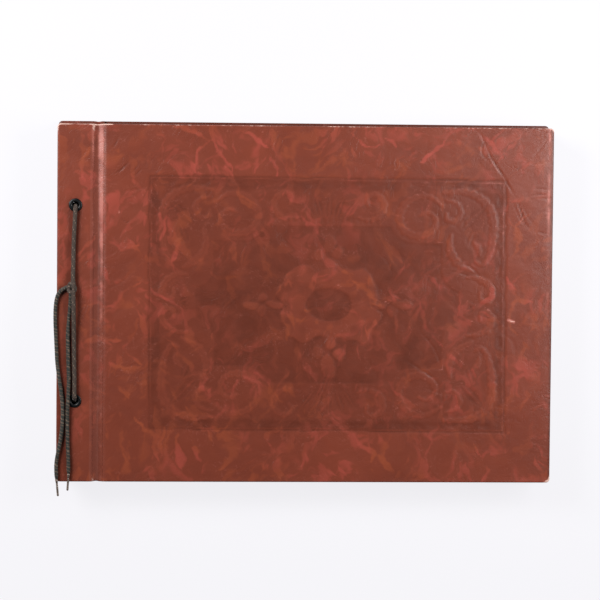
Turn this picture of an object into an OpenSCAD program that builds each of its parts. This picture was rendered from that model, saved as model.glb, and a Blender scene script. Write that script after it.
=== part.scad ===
// Cord-tied landscape photo album, lying closed with its front cover up.
// +X runs from the spine edge to the fore edge, +Y up the page, and z = 0 is the table.

/* [Covers] */
// Width of a cover, from its spine edge to its fore edge
cover_w = 356; // [320:1:400]
// Height of a cover, along the spine
cover_h = 256; // [220:1:300]
// Thickness of the cover boards
board_t = 1.9; // [1.6:0.1:3]
// Thickness of the embossed covering
leather_t = 0.5; // [0.4:0.05:0.7]
// Thickness of the paper that lines the inside
lining_t = 0.3; // [0.2:0.05:0.5]
// Width of covering turned in over the edges of the panel
turn_in = 14; // [10:1:20]
// Width of covering turned in over the edges of the binding strip
strip_turn_in = 6.5; // [5:0.5:7]
// Width of turned-in covering that shows round the lining
lining_border = 4; // [2:0.5:5]
// Radius of the outer corners, seen from above
corner_r = 2.5; // [2:0.1:5]
// Radius of the rounded edges of the covering
edge_r = 0.9; // [0.6:0.05:0.95]
// How far the closed stack has slipped, back cover up the page
slip = 2.4; // [0:0.2:5]

/* [Binding] */
// Width of the binding strip
strip_w = 26; // [24:0.5:32]
// Width of the flexible groove between strip and panel
groove_w = 7; // [6:0.5:9]
// Distance between the two eyelets
eyelet_spacing = 140; // [110:1:170]
// Distance from the spine edge to the eyelets
eyelet_inset = 13; // [12:0.5:14]
// Bore of an eyelet
eyelet_bore = 4.8; // [4.6:0.1:5.2]
// Thickness of an eyelet's metal
eyelet_wall = 0.45; // [0.3:0.05:0.6]
// Outer diameter of an eyelet's flange
flange_d = 9.6; // [8.6:0.1:11]
// Height of an eyelet's flange over the covering
flange_h = 0.7; // [0.5:0.05:0.8]
// Outer diameter of the end that is curled over inside the cover
curl_d = 7.6; // [7:0.1:8.4]

/* [Leaves] */
// Thickness of one leaf
leaf_t = 0.35; // [0.25:0.05:0.4]
// Air between two leaves, outside the binding
leaf_air = 0.55; // [0.5:0.05:0.8]
// Air between the folded layers, inside the binding
fold_air = 0.05; // [0.04:0.01:0.08]
// How far the leaves stay inside the covers
leaf_margin = 3; // [2:0.5:6]
// Length of leaf that flexes, from the hinge line to the stiff part
leaf_flex = 8.5; // [7:0.5:12]
// Diameter of the holes punched in the leaves
leaf_hole_d = 6.4; // [6:0.1:8]

/* [Cord] */
// Width of the tied cord on the front
cord_w = 3.7; // [3.2:0.1:3.8]
// Thickness of the tied cord on the front
cord_h = 3.2; // [2.8:0.1:3.4]
// Width of the cord where it passes through the eyelets
cord_bore_w = 3.6; // [3:0.1:3.8]
// Width of the cord pressed flat under the back strip
cord_flat_w = 4.4; // [4:0.1:5]
// Thickness of the cord pressed flat under the back strip
cord_flat_t = 2.2; // [1.8:0.1:2.3]
// Diameter of the two free ends
tail_d = 3.4; // [3:0.1:3.5]
// Diameter of the metal tips
aglet_d = 2; // [1.6:0.1:2.6]
// Length of the metal tips
aglet_l = 12; // [9:0.5:15]

/* [Embossing] */
// Width of the sunk frame line on the front
frame_w = 256; // [230:1:270]
// Height of the sunk frame line on the front
frame_h = 181; // [160:1:200]
// Width of the frame line itself
frame_line = 1; // [0.6:0.1:2]
// Depth of the embossing
emboss = 0.25; // [0.15:0.01:0.3]
// Distance between the sunk blocks along the frame line
block_pitch = 12.5; // [10:0.5:20]
// Length of a sunk block
block_w = 8; // [5:0.5:9]
// Height of a sunk block
block_h = 3; // [2:0.1:4]
// Width of the plain field inside the scroll band
field_w = 189; // [176:1:200]
// Height of the plain field inside the scroll band
field_h = 113; // [104:1:124]
// Radius of the scrolls that bulge into the field's corners
field_scroll_r = 16.5; // [14:0.5:18]
// Size of the plaque in the middle, its finials included
plaque_scale = 1; // [0.85:0.01:1.1]
// Width of the sunk oval in the plaque
oval_w = 33; // [28:1:40]
// Height of the sunk oval in the plaque
oval_h = 24; // [18:1:28]
// Width of a scroll's line where it is broadest
scroll_line = 2.2; // [1.4:0.1:2.6]

/* [Hidden] */

$fn = 48;
fine_fn = 32;
leaf_count = 24;
upper_count = leaf_count / 2;

leather_colour = [0.48, 0.22, 0.17];
board_colour = [0.72, 0.6, 0.46];
lining_colour = [0.16, 0.13, 0.12];
leaf_colour = [0.2, 0.19, 0.18];
eyelet_colour = [0.06, 0.06, 0.06];
cord_colour = [0.22, 0.2, 0.16];
aglet_colour = [0.45, 0.38, 0.34];

// Clearance between faces that lie against each other
fit = 0.05;
// Clearance round the eyelet's barrel and its curled end
barrel_fit = 0.1;
curl_fit = 0.3;

// Places along X
spine_x = -cover_w / 2;
fore_x = cover_w / 2;
groove_x0 = spine_x + strip_w;
groove_x1 = groove_x0 + groove_w;
hinge_x = (groove_x0 + groove_x1) / 2;
eyelet_x = spine_x + eyelet_inset;
leaf_x0 = hinge_x + leaf_flex;
leaf_x1 = fore_x - leaf_margin;
stub_x0 = spine_x + leaf_margin / 2;
stub_x1 = groove_x0 - fit;

// Places along Y
front_y = -slip / 2;
back_y = slip / 2;
leaf_h = cover_h - 2 * leaf_margin;

// Places along Z
cover_t = 2 * leather_t + board_t + lining_t;
skin_t = cover_t - lining_t;
board_z = lining_t + leather_t;
leaf_pitch = leaf_t + leaf_air;
fold_pitch = leaf_t + fold_air;
stub_pitch = 2 * fold_pitch;
under_cord = cord_flat_t + 2 * fit + flange_h;
stubs_z = under_cord + cover_t + fit;
front_strip_z = stubs_z + leaf_count * stub_pitch + fit;
strip_top = front_strip_z + cover_t;
front_panel_z = cover_t + leaf_count * leaf_pitch + leaf_air;

// The groove corners of strip and panel are as tight as the edge allows
groove_r = 2 * edge_r;

// Eyelet, from its own sizes
barrel_d = eyelet_bore + 2 * eyelet_wall;
curl_h = board_z - fit;

// Embossed centre of the main panel, and the inner corner of the field's stepped outline
panel_mid = (groove_x1 + fore_x) / 2;
field_corner = [field_w / 2 - 12.5, field_h / 2 - 11.5];
field_shoulder = [21, 18];
block_gap = 2.2;

// Scroll lines of one quarter, from the middle of the frame. The outermost runs round the corner.
scrolls = [
    [[83, 81], [97, 81.5], [108, 78], [115.5, 70], [119, 59], [118, 47], [115.5, 37], [111, 30], [106, 31.5]],
    [[81, 72], [72, 77.5], [61, 77], [53, 71], [50.5, 63], [53, 55], [60, 50.5], [68, 50], [75, 54.5],
        [76.5, 62], [71, 67], [65, 64.5]],
    [[84, 76], [92, 73.5], [95, 67], [91, 61], [85, 61.5], [84, 66.5]],
    [[88, 51], [87, 43], [90, 34], [97, 28.5], [103.5, 25]],
    [[100, 20.5], [108, 20], [115, 16], [118, 9.5], [115, 4], [110, 5], [109.5, 10]],
    [[21, 62], [30, 60.5], [37.5, 65], [39, 73], [33, 79], [27, 76.5], [28, 70.5]],
    [[104, 46], [108, 41], [108.5, 36]]
];

// Sunk leaves of one quarter, as [base, tip, width]
leaves = [
    [[95, 55], [114, 74], 6.5],
    [[100, 43], [105, 57], 5],
    [[0, 61.5], [0, 80], 5],
    [[5, 61.5], [11, 79], 4.5],
    [[10, 61], [21, 75.5], 4],
    [[99, 3.5], [107, 0], 4]
];

// Raised plaque of one quarter, and its finials as discs of [centre, width, height]
plaque = [[0, 23.5], [8, 23.5], [12, 26], [24, 26.5], [30, 22.5], [32, 16.5], [35.5, 12], [36.5, 6], [34, 3], [34, 0]];
finials = [
    [[0, 27], 7, 12], [[7, 35.5], 8.5, 10], [[0, 44], 10, 14],
    [[38, 0], 12, 5.5], [[46, 4.5], 8, 7], [[54, 0], 14, 8]
];

// Height of a leaf's underside, outside the binding and in it. Leaf 1 is on top.
function leaf_z(k) = front_panel_z - k * leaf_pitch;
function stub_z(k) = front_strip_z - fit / 2 - k * stub_pitch;
// The stack slips a little more at each leaf
function leaf_y(k) = front_y + (back_y - front_y) * k / (leaf_count + 1);

// Cord routes as [x, y, height over the strip's top face]
knot_at = [-166.5, 9.5, 3.1];
upper_run = [[-166.3, 14, 3], [-166, 20, 2.6], [-165.7, 28, 2], [-165.5, 38, 1.75], [-165.2, 48, 1.75]];
lower_run = [[-166, 5, 4.9], [-165.8, -3, 4.9], [-165.7, -12, 4.1], [-165.6, -21, 2.8],
    [-165.5, -30, 2], [-165.4, -40, 1.75], [-165.2, -50, 1.75]];
left_route = [[-170, 10.5, 2.6], [-172.5, 9.4, 2.2], [-175, 7.8, 1.9], [-177.2, 5, 1.8], [-178.6, 1, 1.6],
    [-179.4, -6, 1.5], [-179.4, -15, 1.5], [-179, -24, 1.5], [-178.3, -34, 1.6], [-177.4, -44, 1.8],
    [-176, -55, 1.8], [-174.6, -64, 1.8], [-173.6, -73, 1.8], [-173.4, -82, 1.8], [-173.9, -91, 1.8],
    [-175, -100, 1.8], [-176.6, -108, 1.8], [-177.8, -116, 1.8], [-177.7, -124, 1.8], [-177.5, -127.5, 1.8]];
right_route = [[-168.1, 6, 1.8], [-168.2, 2, 1.8], [-168.6, -6, 1.8], [-169.4, -15, 1.8], [-170, -24, 1.8],
    [-169.8, -35, 1.8], [-169.5, -46, 1.8], [-169.2, -56, 2], [-169.4, -64, 2.6], [-169.6, -70, 2.7],
    [-169.8, -76, 2.5], [-169.9, -85, 1.8], [-169.8, -95, 1.8], [-169.6, -104, 1.8], [-169.2, -112, 1.8],
    [-169, -120, 1.8], [-169, -123.5, 1.8]];
left_tip = [-176.4, -139.5, 1.7];
right_tip = [-169.7, -135.5, 1.7];

function unit(v) = v / norm(v);
function arc(centre, r, from, to, steps) =
    [for (i = [0:steps]) centre + r * [cos(from + (to - from) * i / steps), sin(from + (to - from) * i / steps)]];
function ease(s) = (1 - cos(180 * s)) / 2;
// Smooth curve through given points, with a few steps between each two
function curve(p, steps) = let (last = len(p) - 1)
    [for (i = [0:last - 1], j = [0:steps - 1]) let (a = p[max(i - 1, 0)], b = p[i], c = p[i + 1],
        d = p[min(i + 2, last)], s = j / steps)
        b + (c - a) / 2 * s + (2 * a - 5 * b + 4 * c - d) / 2 * s * s + (3 * b - a - 3 * c + d) / 2 * s * s * s,
        p[last]];
function tangent(route, i) = unit(route[min(i + 1, len(route) - 1)] - route[max(i - 1, 0)]);
// Across the cord: square to its run, and either level or as near to +X as it can be
function level_side(t) = unit(cross([0, 0, 1], t));
function x_side(t) = unit([1, 0, 0] - t[0] * t);
function ring(at, t, side, size, sides) = let (up = cross(t, side))
    [for (j = [0:sides - 1]) at + size[0] / 2 * cos(360 * j / sides) * side
        + size[1] / 2 * sin(360 * j / sides) * up];

// One tube along a route, with a width and a thickness at each point
module tube(route, sizes, sides, level) {
    count = len(route);
    points = [for (i = [0:count - 1]) let (t = tangent(route, i))
        each ring(route[i], t, level ? level_side(t) : x_side(t), sizes[i], sides)];
    walls = [for (i = [0:count - 2], j = [0:sides - 1]) let (a = i * sides + j, b = i * sides + (j + 1) % sides)
        each [[a, a + sides, b], [b, a + sides, b + sides]]];
    last = (count - 1) * sides;
    caps = [for (j = [1:sides - 2]) each [[0, j, j + 1], [last, last + j + 1, last + j]]];
    polyhedron(points, concat(walls, caps));
}

// Outline from above, with its own corner radius at each end
module outline(x0, x1, h, r0, r1) {
    translate([x0 + r0, -h / 2]) square([x1 - x0 - r0 - r1, h]);
    translate([x0, r0 - h / 2]) square([r0, h - 2 * r0]);
    translate([x1 - r1, r1 - h / 2]) square([r1, h - 2 * r1]);
    for (side = [-1, 1]) {
        translate([x0 + r0, side * (h / 2 - r0)]) circle(r0);
        translate([x1 - r1, side * (h / 2 - r1)]) circle(r1);
    }
}

// A slab with round corners and round edges, its inner face at z = lining_t
module skin(x0, x1, r0, r1)
    hull() for (side = [-1, 1], z = [lining_t + edge_r, cover_t - edge_r]) {
        translate([x0 + r0, side * (cover_h / 2 - r0), z]) rim(r0);
        translate([x1 - r1, side * (cover_h / 2 - r1), z]) rim(r1);
    }

module rim(r) rotate_extrude($fn = fine_fn) translate([r - edge_r, 0]) circle(edge_r, $fn = fine_fn / 2);

module block(x0, x1, h, z0, z1) translate([x0, -h / 2, z0]) cube([x1 - x0, h, z1 - z0]);

module at_eyelets() for (side = [-1, 1]) translate([eyelet_x, side * eyelet_spacing / 2, 0]) children();

// Where a cover's pieces stand: each is drawn with its outer face up
module on_front(z) translate([0, front_y, z]) children();
module on_back(z) translate([0, back_y, z + cover_t]) mirror([0, 0, 1]) children();

// Main panel of a cover
module panel_board()
    color(board_colour) translate([0, 0, board_z]) linear_extrude(board_t)
        outline(groove_x1 + leather_t, fore_x - leather_t, cover_h - 2 * leather_t,
            groove_r - leather_t, corner_r - leather_t);

module panel_leather() color(leather_colour) difference() {
    skin(groove_x1, fore_x, groove_r, corner_r);
    panel_board();
    block(groove_x1 + leather_t, fore_x - turn_in, cover_h - 2 * turn_in, 0, board_z + fit);
}

module panel_lining() color(lining_colour) {
    block(groove_x1, fore_x - lining_border, cover_h - 2 * lining_border, 0, lining_t);
    block(groove_x1 + leather_t + fit, fore_x - turn_in - fit, cover_h - 2 * turn_in - 2 * fit, lining_t / 2, board_z);
}

// Binding strip of a cover, with its two eyelet holes
module strip_board() color(board_colour) difference() {
    translate([0, 0, board_z]) linear_extrude(board_t)
        outline(spine_x + leather_t, groove_x0 - leather_t, cover_h - 2 * leather_t,
            corner_r - leather_t, groove_r - leather_t);
    at_eyelets() cylinder(h = 3 * cover_t, d = barrel_d + 2 * barrel_fit, center = true);
}

module strip_leather() color(leather_colour) difference() {
    skin(spine_x, groove_x0, corner_r, groove_r);
    translate([0, 0, board_z]) linear_extrude(board_t)
        outline(spine_x + leather_t, groove_x0 - leather_t, cover_h - 2 * leather_t,
            corner_r - leather_t, groove_r - leather_t);
    block(spine_x + strip_turn_in, groove_x0 - leather_t, cover_h - 2 * strip_turn_in, 0, board_z + fit);
    at_eyelets() cylinder(h = 3 * cover_t, d = barrel_d + 2 * barrel_fit, center = true);
}

module strip_lining() color(lining_colour) difference() {
    union() {
        block(spine_x + lining_border, groove_x0, cover_h - 2 * lining_border, 0, lining_t);
        block(spine_x + strip_turn_in + fit, groove_x0 - leather_t - fit, cover_h - 2 * strip_turn_in - 2 * fit,
            lining_t / 2, board_z);
    }
    at_eyelets() cylinder(h = 3 * cover_t, d = curl_d + 2 * curl_fit, center = true);
}

// Groove between them, from the strip's inner face to the panel's, which lies drop lower
module groove_leather(drop) {
    steps = 12;
    low = lining_t;
    lip = skin_t * 0.45;
    top = [for (i = [0:steps]) let (s = i / steps)
        [groove_x0 + s * (groove_w - fit), low + leather_t + lip * pow(abs(2 * s - 1), 3) - s * drop]];
    base = [[groove_x1 - fit, low - drop], [groove_x0, low]];
    color(leather_colour) across(cover_h - 2 * groove_r) polygon(concat(top, base));
}

module groove_lining(drop)
    color(lining_colour) across(cover_h - 2 * lining_border)
        polygon([[groove_x0, 0], [groove_x0, lining_t - fit / 2], [groove_x1 - fit, lining_t - fit / 2 - drop],
            [groove_x1 - fit, -drop]]);

// Extrudes a profile drawn in X and Z along the spine, over a length centred on y = 0
module across(length) translate([0, length / 2, 0]) rotate([90, 0, 0]) linear_extrude(length) children();

// Eyelet with a domed flange outside and its curled end inside, in one turned profile
module eyelets() color(eyelet_colour) at_eyelets() translate([0, 0, cover_t]) rotate_extrude() {
    bore_r = eyelet_bore / 2;
    flange_mid = (bore_r + flange_d / 2) / 2;
    flange_half = (flange_d / 2 - bore_r) / 2;
    curl_mid = (bore_r + curl_d / 2) / 2;
    curl_half = (curl_d / 2 - bore_r) / 2;
    curl_z = board_z - cover_t;
    dome = [for (a = [0:15:180]) [flange_mid + flange_half * cos(a), fit + (flange_h - fit) * sin(a)]];
    curl = [for (a = [180:15:360]) [curl_mid + curl_half * cos(a), curl_z - fit + curl_h * sin(a)]];
    polygon(concat(dome, curl, [[barrel_d / 2, curl_z - fit], [barrel_d / 2, fit]]));
}

// Front cover
module front_board() on_front(front_panel_z) panel_board();

module front_leather() color(leather_colour) on_front(front_panel_z) difference() {
    panel_leather();
    translate([panel_mid, 0, cover_t - emboss]) linear_extrude(2 * emboss) design();
}

module front_lining() on_front(front_panel_z) panel_lining();
module front_binding_board() on_front(front_strip_z) strip_board();
module front_binding_leather() on_front(front_strip_z) strip_leather();
module front_binding_lining() on_front(front_strip_z) strip_lining();
module front_groove_leather() on_front(front_strip_z) groove_leather(front_strip_z - front_panel_z);
module front_groove_lining() on_front(front_strip_z) groove_lining(front_strip_z - front_panel_z);
module front_eyelets() on_front(front_strip_z) eyelets();

// All that is sunk into the front, seen from above
module design() {
    frame_outline();
    sunk_blocks();
    quarters() {
        for (line = scrolls) scroll(line);
        for (l = leaves) sunk_leaf(l[0], l[1], l[2]);
    }
    difference() {
        quarters() field_quarter();
        scale(plaque_scale) quarters() raised_plaque();
    }
    scale([oval_w, oval_h]) circle(d = 1);
}

// Repeats one quarter of a design in all four
module quarters() for (x = [0, 1], y = [0, 1]) mirror([x, 0]) mirror([0, y]) children();

// Line round the scroll band
module frame_outline() difference() {
    square([frame_w, frame_h], center = true);
    square([frame_w - 2 * frame_line, frame_h - 2 * frame_line], center = true);
}

// Row of blocks just inside the line, evenly spaced and centred on each side
module sunk_blocks() {
    inset = frame_line + block_gap + block_h / 2;
    row_w = floor((frame_w / 2 - 2 * inset) / block_pitch);
    row_h = floor((frame_h / 2 - 2 * inset) / block_pitch);
    for (side = [-1, 1]) {
        for (i = [-row_w:row_w]) translate([i * block_pitch, side * (frame_h / 2 - inset)])
            square([block_w, block_h], center = true);
        for (i = [-row_h:row_h]) translate([side * (frame_w / 2 - inset), i * block_pitch])
            square([block_h, block_w], center = true);
    }
}

// Scroll line, swelling in the middle and tapering to its ends
module scroll(points) {
    path = curve(points, 2);
    last = len(path) - 1;
    function edge(i, side) = let (t = tangent(path, i), half = scroll_line / 2 * (0.3 + 0.7 * sin(180 * i / last)))
        path[i] + side * half * [-t[1], t[0]];
    polygon([for (i = [0:last]) edge(i, 1), for (i = [last:-1:0]) edge(i, -1)]);
}

// Leaf, pointed at its tip
module sunk_leaf(from, to, width) {
    steps = 6;
    along = to - from;
    across = width / norm(along) * [-along[1], along[0]];
    function half(s) = 0.5 * sin(180 * pow(s, 0.7)) + 0.05 * (1 - s);
    polygon([for (i = [0:steps]) from + along * i / steps + across * half(i / steps),
        for (i = [steps - 1:-1:0]) from + along * i / steps - across * half(i / steps)]);
}

// Plain field: straight sides, stepped corners, and a round scroll biting into each side of a step
module field_quarter() {
    r = field_scroll_r;
    over = field_corner + [-field_shoulder[0], r];
    beside = field_corner + [r, -field_shoulder[1]];
    meet_over = asin((over[1] - field_h / 2) / r);
    meet_beside = acos((beside[0] - field_w / 2) / r);
    polygon(concat([[0, 0], [0, field_h / 2]], arc(over, r, 180 + meet_over, 270, 8), [field_corner],
        arc(beside, r, 180, 180 + meet_beside, 8), [[field_w / 2, 0]]));
}

module raised_plaque() {
    polygon(concat([[0, 0]], plaque));
    for (disc = finials) translate(disc[0]) scale([disc[1], disc[2]]) circle(d = 1, $fn = 16);
}

// Back cover
module back_board() on_back(0) panel_board();
module back_leather() on_back(0) panel_leather();
module back_lining() on_back(0) panel_lining();
module back_binding_board() on_back(under_cord) strip_board();
module back_binding_leather() on_back(under_cord) strip_leather();
module back_binding_lining() on_back(under_cord) strip_lining();
module back_groove_leather() on_back(under_cord) groove_leather(-under_cord);
module back_groove_lining() on_back(under_cord) groove_lining(-under_cord);
module back_eyelets() on_back(under_cord) eyelets();

// One leaf outside the binding
module leaf(k) color(leaf_colour) translate([0, leaf_y(k), leaf_z(k)])
    block(leaf_x0, leaf_x1, leaf_h, 0, leaf_t);

// The folded end of one leaf, which the cord runs through
module leaf_stub(k) {
    outer_r = (2 * leaf_t + fold_air) / 2;
    inner_r = fold_air / 2;
    bend = [stub_x0 + outer_r, outer_r];
    profile = concat(
        [[stub_x1, 2 * outer_r]], arc(bend, outer_r, 90, 270, 8), [[stub_x1, 0]],
        [[stub_x1, leaf_t]], arc(bend, inner_r, 270, 90, 4), [[stub_x1, leaf_t + fold_air]]);
    translate([0, leaf_y(k), stub_z(k)]) difference() {
        across(leaf_h) polygon(profile);
        at_eyelets() cylinder(h = 4 * stub_pitch, d = leaf_hole_d, center = true);
    }
}

module leaf_stubs() color(leaf_colour) for (k = [1:leaf_count]) leaf_stub(k);

// The flexing stretch of one leaf, from the binding to its stiff part
module leaf_hinge(k) {
    steps = 6;
    x0 = stub_x1 + fit;
    x1 = leaf_x0 - fit;
    path = [for (i = [0:steps]) let (s = i / steps)
        [x0 + (x1 - x0) * s, stub_z(k) + (leaf_z(k) - stub_z(k)) * ease(s)]];
    translate([0, leaf_y(k), 0]) across(leaf_h)
        polygon(concat(path, [for (i = [steps:-1:0]) path[i] + [0, leaf_t]]));
}

module leaf_hinges(from, to) color(leaf_colour) for (k = [from:to]) leaf_hinge(k);

// The tied cord: knot, upper eyelet, down through the stack, flat under the back, up and to the knot
module lacing_cord() {
    top = strip_top + fit;
    rise = flange_h + 2 * fit + cord_h / 2;
    far = eyelet_spacing / 2;
    flat_z = fit + cord_flat_t / 2;
    over = 3.3;
    under = 2.1;
    front_size = [cord_w, cord_h];
    bore_size = [cord_bore_w, cord_h];
    flat_size = [cord_flat_w, cord_flat_t];
    front_bend = [for (a = [90:-30:0]) [over * cos(a), over * sin(a)]];
    back_bend = [for (a = [0:-30:-90]) [under * cos(a), under * sin(a)]];
    // One half, from the knot outwards: along the front, into the bore, and out under the back strip
    function down(side) = concat(
        [for (b = front_bend) [eyelet_x, side * (far - over + b[0]) + front_y, top + rise - over + b[1]]],
        [[eyelet_x, side * far + front_y, front_strip_z - 1], [eyelet_x, side * far, (stubs_z + front_strip_z) / 2],
            [eyelet_x, side * far + back_y, stubs_z + 1]],
        [for (b = back_bend) [eyelet_x, side * (far - under + b[0]) + back_y, flat_z + under + b[1]]]);
    function reverse(list) = [for (i = [len(list) - 1:-1:0]) list[i]];
    function raised(list) = [for (p = list) p + [0, 0, top]];
    upper = concat(raised(upper_run), down(1));
    lower = concat(raised(lower_run), down(-1));
    back_half = (far - 12) / 6;
    back = [for (i = [-5:5]) [eyelet_x, -i * back_half + back_y, flat_z]];
    down_sizes = concat([for (b = front_bend) b[1] > over / 2 ? front_size : bore_size],
        [bore_size, bore_size, bore_size], [bore_size, [cord_bore_w, cord_flat_t], flat_size, flat_size]);
    half_sizes = concat([for (p = upper_run) front_size], down_sizes);
    lower_sizes = concat([for (p = lower_run) front_size], down_sizes);
    route = concat(upper, back, reverse(lower));
    sizes = concat(half_sizes, [for (p = back) flat_size], reverse(lower_sizes));
    color(cord_colour) tube(route, sizes, 10, false);
}

// The knot: a core with three strands drawn tight across it
module cord_knot() {
    r = cord_h / 2;
    strands = [
        [[-3, 1.8, -0.4], [2.6, 0.4, 1.2]],
        [[-2.2, -2.8, -0.6], [1.8, -2.6, 1.2]],
        [[0.8, 4, -1], [0.6, -4, 1.4]],
        [[-1.6, 3.6, 0.2], [1.6, 3, -1.2]]
    ];
    color(cord_colour) translate(knot_at + [0, 0, strip_top + fit]) for (strand = strands)
        hull() for (end = strand) translate(end) sphere(r, $fn = 16);
}

// A free end of the cord, drawn in where its metal tip grips it
module tail(route) {
    raised = [for (p = route) p + [0, 0, strip_top + fit]];
    gripped = aglet_d + fit;
    widths = [for (i = [1:len(route)]) i == len(route) ? gripped : tail_d];
    color(cord_colour) tube(raised, [for (w = widths) [w, w]], 8, true);
}

// Metal tip, crimped over the cord's end and closed with a round nose
module aglet(from, to) {
    way = to - from;
    tilt = acos(way[2] / norm(way));
    turn = atan2(way[1], way[0]);
    collar = aglet_d / 2 + 0.25;
    nose = arc([0, aglet_l - aglet_d / 2], aglet_d / 2, 0, 75, 5);
    color(aglet_colour) translate(from + [0, 0, strip_top + fit]) rotate([0, tilt, turn]) rotate_extrude()
        polygon(concat([[0, 0], [collar, 0], [collar, 1.2], [aglet_d / 2, 2]], nose, [[0, aglet_l]]));
}

front_board();
front_leather();
front_lining();
front_binding_board();
front_binding_leather();
front_binding_lining();
front_groove_leather();
front_groove_lining();
front_eyelets();
back_board();
back_leather();
back_lining();
back_binding_board();
back_binding_leather();
back_binding_lining();
back_groove_leather();
back_groove_lining();
back_eyelets();
leaf(1);  // leaf_01
leaf(2);  // leaf_02
leaf(3);  // leaf_03
leaf(4);  // leaf_04
leaf(5);  // leaf_05
leaf(6);  // leaf_06
leaf(7);  // leaf_07
leaf(8);  // leaf_08
leaf(9);  // leaf_09
leaf(10);  // leaf_10
leaf(11);  // leaf_11
leaf(12);  // leaf_12
leaf(13);  // leaf_13
leaf(14);  // leaf_14
leaf(15);  // leaf_15
leaf(16);  // leaf_16
leaf(17);  // leaf_17
leaf(18);  // leaf_18
leaf(19);  // leaf_19
leaf(20);  // leaf_20
leaf(21);  // leaf_21
leaf(22);  // leaf_22
leaf(23);  // leaf_23
leaf(24);  // leaf_24
leaf_stubs();
leaf_hinges(1, upper_count);  // upper_leaf_hinges
leaf_hinges(upper_count + 1, leaf_count);  // lower_leaf_hinges
lacing_cord();
cord_knot();
tail(left_route);  // cord_tail_left
tail(right_route);  // cord_tail_right
aglet(left_route[len(left_route) - 1], left_tip);  // aglet_left
aglet(right_route[len(right_route) - 1], right_tip);  // aglet_right
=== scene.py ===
"""Looks for a cord-tied photo album that lies closed on a table.

Laid out as an add-on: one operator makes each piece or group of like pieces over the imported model.
Blender works in metres; the lists of this file are in millimetres and are turned by MM.
"""

import math
from typing import NamedTuple

import bmesh
import bpy
import numpy as np
from bpy.props import FloatProperty, FloatVectorProperty, IntProperty, PointerProperty
from mathutils import Euler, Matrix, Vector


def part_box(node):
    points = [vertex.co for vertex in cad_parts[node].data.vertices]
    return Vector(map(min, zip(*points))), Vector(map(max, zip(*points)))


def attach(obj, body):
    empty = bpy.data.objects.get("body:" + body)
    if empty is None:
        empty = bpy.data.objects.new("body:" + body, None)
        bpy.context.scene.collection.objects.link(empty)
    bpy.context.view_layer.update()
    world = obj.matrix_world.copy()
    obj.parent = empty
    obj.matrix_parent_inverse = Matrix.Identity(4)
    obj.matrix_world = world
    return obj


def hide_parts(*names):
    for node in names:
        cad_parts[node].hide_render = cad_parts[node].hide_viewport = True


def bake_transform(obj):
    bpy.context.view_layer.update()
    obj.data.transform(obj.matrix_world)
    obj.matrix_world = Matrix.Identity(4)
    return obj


bl_info = {
    "name": "Cord-tied photo album",
    "version": (1, 0, 0),
    "blender": (4, 5, 0),
    "location": "View3D > Sidebar > Album",
    "description": "Embossed coverings, card leaves, eyelets and a braided cord over the packed model",
    "category": "Object",
}

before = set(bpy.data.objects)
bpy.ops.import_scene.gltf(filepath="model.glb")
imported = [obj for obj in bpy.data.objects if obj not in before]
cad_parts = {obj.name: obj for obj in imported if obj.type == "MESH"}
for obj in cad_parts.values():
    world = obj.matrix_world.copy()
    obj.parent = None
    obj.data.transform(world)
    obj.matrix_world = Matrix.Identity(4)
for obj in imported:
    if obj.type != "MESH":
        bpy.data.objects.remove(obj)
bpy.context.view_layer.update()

MM = 0.001


def node_box(node):
    """Lowest and highest corner of a CAD node, in millimetres."""
    low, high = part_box(node)
    return np.array(low) / MM, np.array(high) / MM


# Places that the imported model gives, in millimetres
panel_low, panel_high = node_box("front_leather")
strip_low, strip_high = node_box("front_binding_leather")
back_panel_low, back_panel_high = node_box("back_leather")
back_strip_low, back_strip_high = node_box("back_binding_leather")
SPINE_X = strip_low[0]
GROOVE_X0 = strip_high[0]
GROOVE_X1 = panel_low[0]
FORE_X = panel_high[0]
FRONT_Y = (panel_low[1] + panel_high[1]) / 2
BACK_Y = (back_panel_low[1] + back_panel_high[1]) / 2
COVER_H = panel_high[1] - panel_low[1]

# Build-up of a cover
COVER_T = 3.2
LEATHER_T = 0.5
LINING_T = 0.3
EDGE_R = 0.9
CORNER_R = 2.5
GROOVE_LAP = 0.15
SLOPE_RISE = 2.0
TURN_IN = 14.0
STRIP_TURN_IN = 6.5
LINING_BORDER = 4.0
FIT = 0.05
BOARD_AIR = 0.02
SKIN_T = LEATHER_T * 0.92

# Groove and fore edge: widths and depths of the slopes
SHOULDER_IN = 1.5
SHOULDER_EASE = 0.25
GROOVE_FALL_W = 3.8
GROOVE_LIP_Z = 2.4
BACK_FOLD_H = 1.3
STRIP_EDGE_W = 2.6
STRIP_EDGE_DROP = 0.8
RIM_W = 22
RIM_PAST = 8
RIM_DROP = 0.2
RIM_EDGE_W = 7
RIM_EDGE_DROP = 0.28

# Distance between a covering's points: on the front, inside its frame, and on the plain back
FACE_STEP = 1.22
FRAME_STEP = 0.98
PLAIN_STEP = 3.0

# Distance at which points are merged, in metres
MERGE = 2e-6

# Places where a covering's edge is worn through: x, y, reach and amount
WORN_CORNERS = [(178, -128, 5, 1.3), (178, 128, 5, 0.6), (-178, 128, 7, 0.8), (-178, -128, 5, 0.5),
                (-144, 128, 4, 0.9), (-144, -128, 3, 0.5)]


class Cover(NamedTuple):
    """One cover: name, middle, inner face of its panel and of its strip, and 1 where its outside looks up."""

    name: str
    mid_y: float
    panel_base: float
    strip_base: float
    up: int

    def drop(self):
        """How far the panel lies closer to the album's middle than the strip."""
        return self.up * (self.strip_base - self.panel_base)

    def at(self, points, base):
        """Points of a piece at their place over an inner face, turned over where the outside looks down."""
        points[:, 1] += self.mid_y
        points[:, 2] = base + points[:, 2] if self.up > 0 else base + COVER_T - points[:, 2]
        return points


FRONT = Cover("front", FRONT_Y, panel_low[2] - LINING_T, strip_low[2] - LINING_T, 1)
BACK = Cover("back", BACK_Y, back_panel_low[2], back_strip_low[2], -1)

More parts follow.
